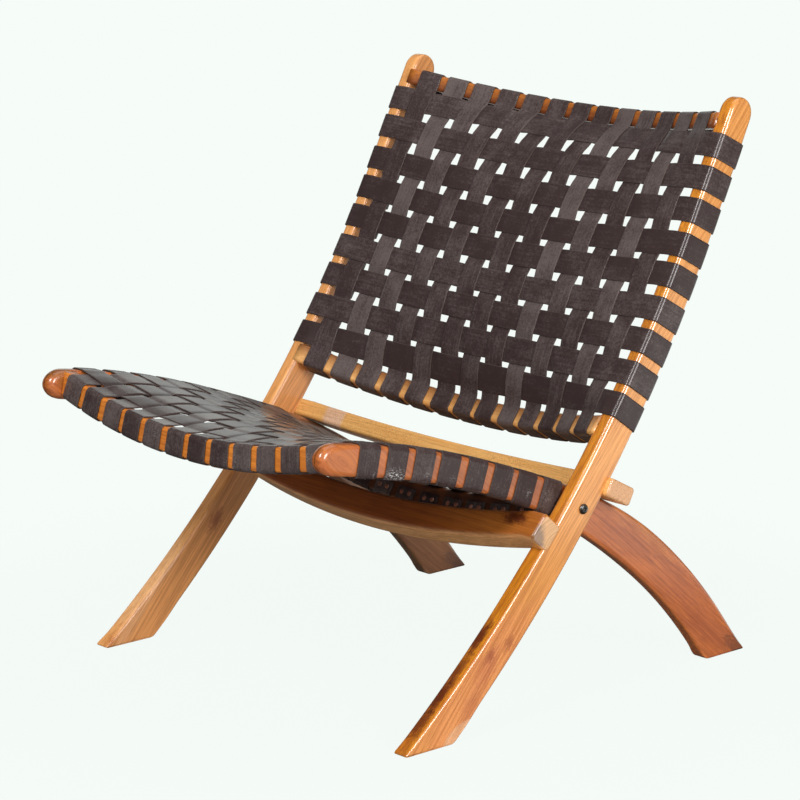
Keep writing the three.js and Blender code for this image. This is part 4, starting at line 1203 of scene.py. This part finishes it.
SIDE_SCUFFS = ((-306.0, 14.0, 6.0, 0.9), (-298.0, 14.5, 6.0, 0.9), (-288.0, 15.0, 6.0, 0.9),
               (-330.0, 15.0, 5.0, 0.5), (-246.0, 8.0, 3.5, 0.5), (-205.0, 10.0, 5.0, 0.3),
               (-75.0, 4.0, 4.0, 0.5), (-40.0, 0.0, 5.0, 0.5))
NOSE_SCUFFS = ((0.09, 20.0, 12.0, 0.3), (0.13, 22.0, 10.0, 0.3), (0.225, 14.0, 9.0, 0.6),
               (-0.06, 12.0, 7.0, 0.25))
SCUFFS = [(spot(place, down), reach, amount)
          for spot, scuffs in ((seat_side, SIDE_SCUFFS), (seat_nose, NOSE_SCUFFS))
          for place, down, reach, amount in scuffs]
BACK_ROWS = np.linspace(858.0, 511.5, 9)
SEAT_ROWS = np.linspace(-341.0, -36.5, 8)
SHIFT = 1.2
TILT = 1.0
# The columns are given lighter tones than the rows: partly a difference in wear, partly painted sheen.
ROW_TONES = (0.04, 0.34)
COLUMN_TONES_AND_SHEEN = (0.22, 0.78)
HAND = np.random.default_rng(11)

for panel, body, rows, wide, odd in ((back_panel, "back_frame", BACK_ROWS, STILE_THICK, 0),
                                     (seat_panel, "seat_frame", SEAT_ROWS, SEAT_THICK, 1)):
    part = body.split("_")[0]
    rows = [(along + HAND.uniform(-SHIFT, SHIFT), HAND.uniform(-TILT, TILT)) for along in rows]
    columns = [(angle + HAND.uniform(-SHIFT, SHIFT) / panel.radius, HAND.uniform(-TILT, TILT))
               for angle in np.linspace(-panel.outermost, panel.outermost, panel.columns)]
    for i, row in enumerate(rows):
        crossings = [column_angle(panel, column, row[0]) for column in columns]
        surface, over = row_surface(panel, row, wide, np.array(crossings))
        lift = ROW_LIFT * (-1) ** (i + odd) * over
        lay_strap(f"{part}_row_{i + 1:02d}", body, surface, lift, HAND.uniform(*ROW_TONES), False)
    for j, column in enumerate(columns):
        crossings = np.sort([panel.settled(column[0], along) + tilt * np.sin(column[0]) / np.sin(panel.widest)
                             for along, tilt in rows])
        surface, over = column_surface(panel, column, crossings)
        first = len(rows) - 1 if part == "back" else 0
        lift = COLUMN_LIFT * (-1) ** (first + j + odd) * over
        lay_strap(f"{part}_column_{j + 1:02d}", body, surface, lift, HAND.uniform(*COLUMN_TONES_AND_SHEEN), True)


# The nails are of copper, with domed heads. Two of them hold each strap's tail to the inner face of a
# board or rail.

NAIL_RADIUS = 3.5
NAIL_HEIGHT = 2.0
copper = metal("copper", (0.86, 0.5, 0.4), 0.34, 0.5)
for body, places in nails.items():
    spots, normals = np.array(places).transpose(1, 0, 2)
    points, faces = studs(spots, normals, NAIL_RADIUS, NAIL_HEIGHT, 12)
    piece(f"{body}_nails", None, points, faces, body, copper)
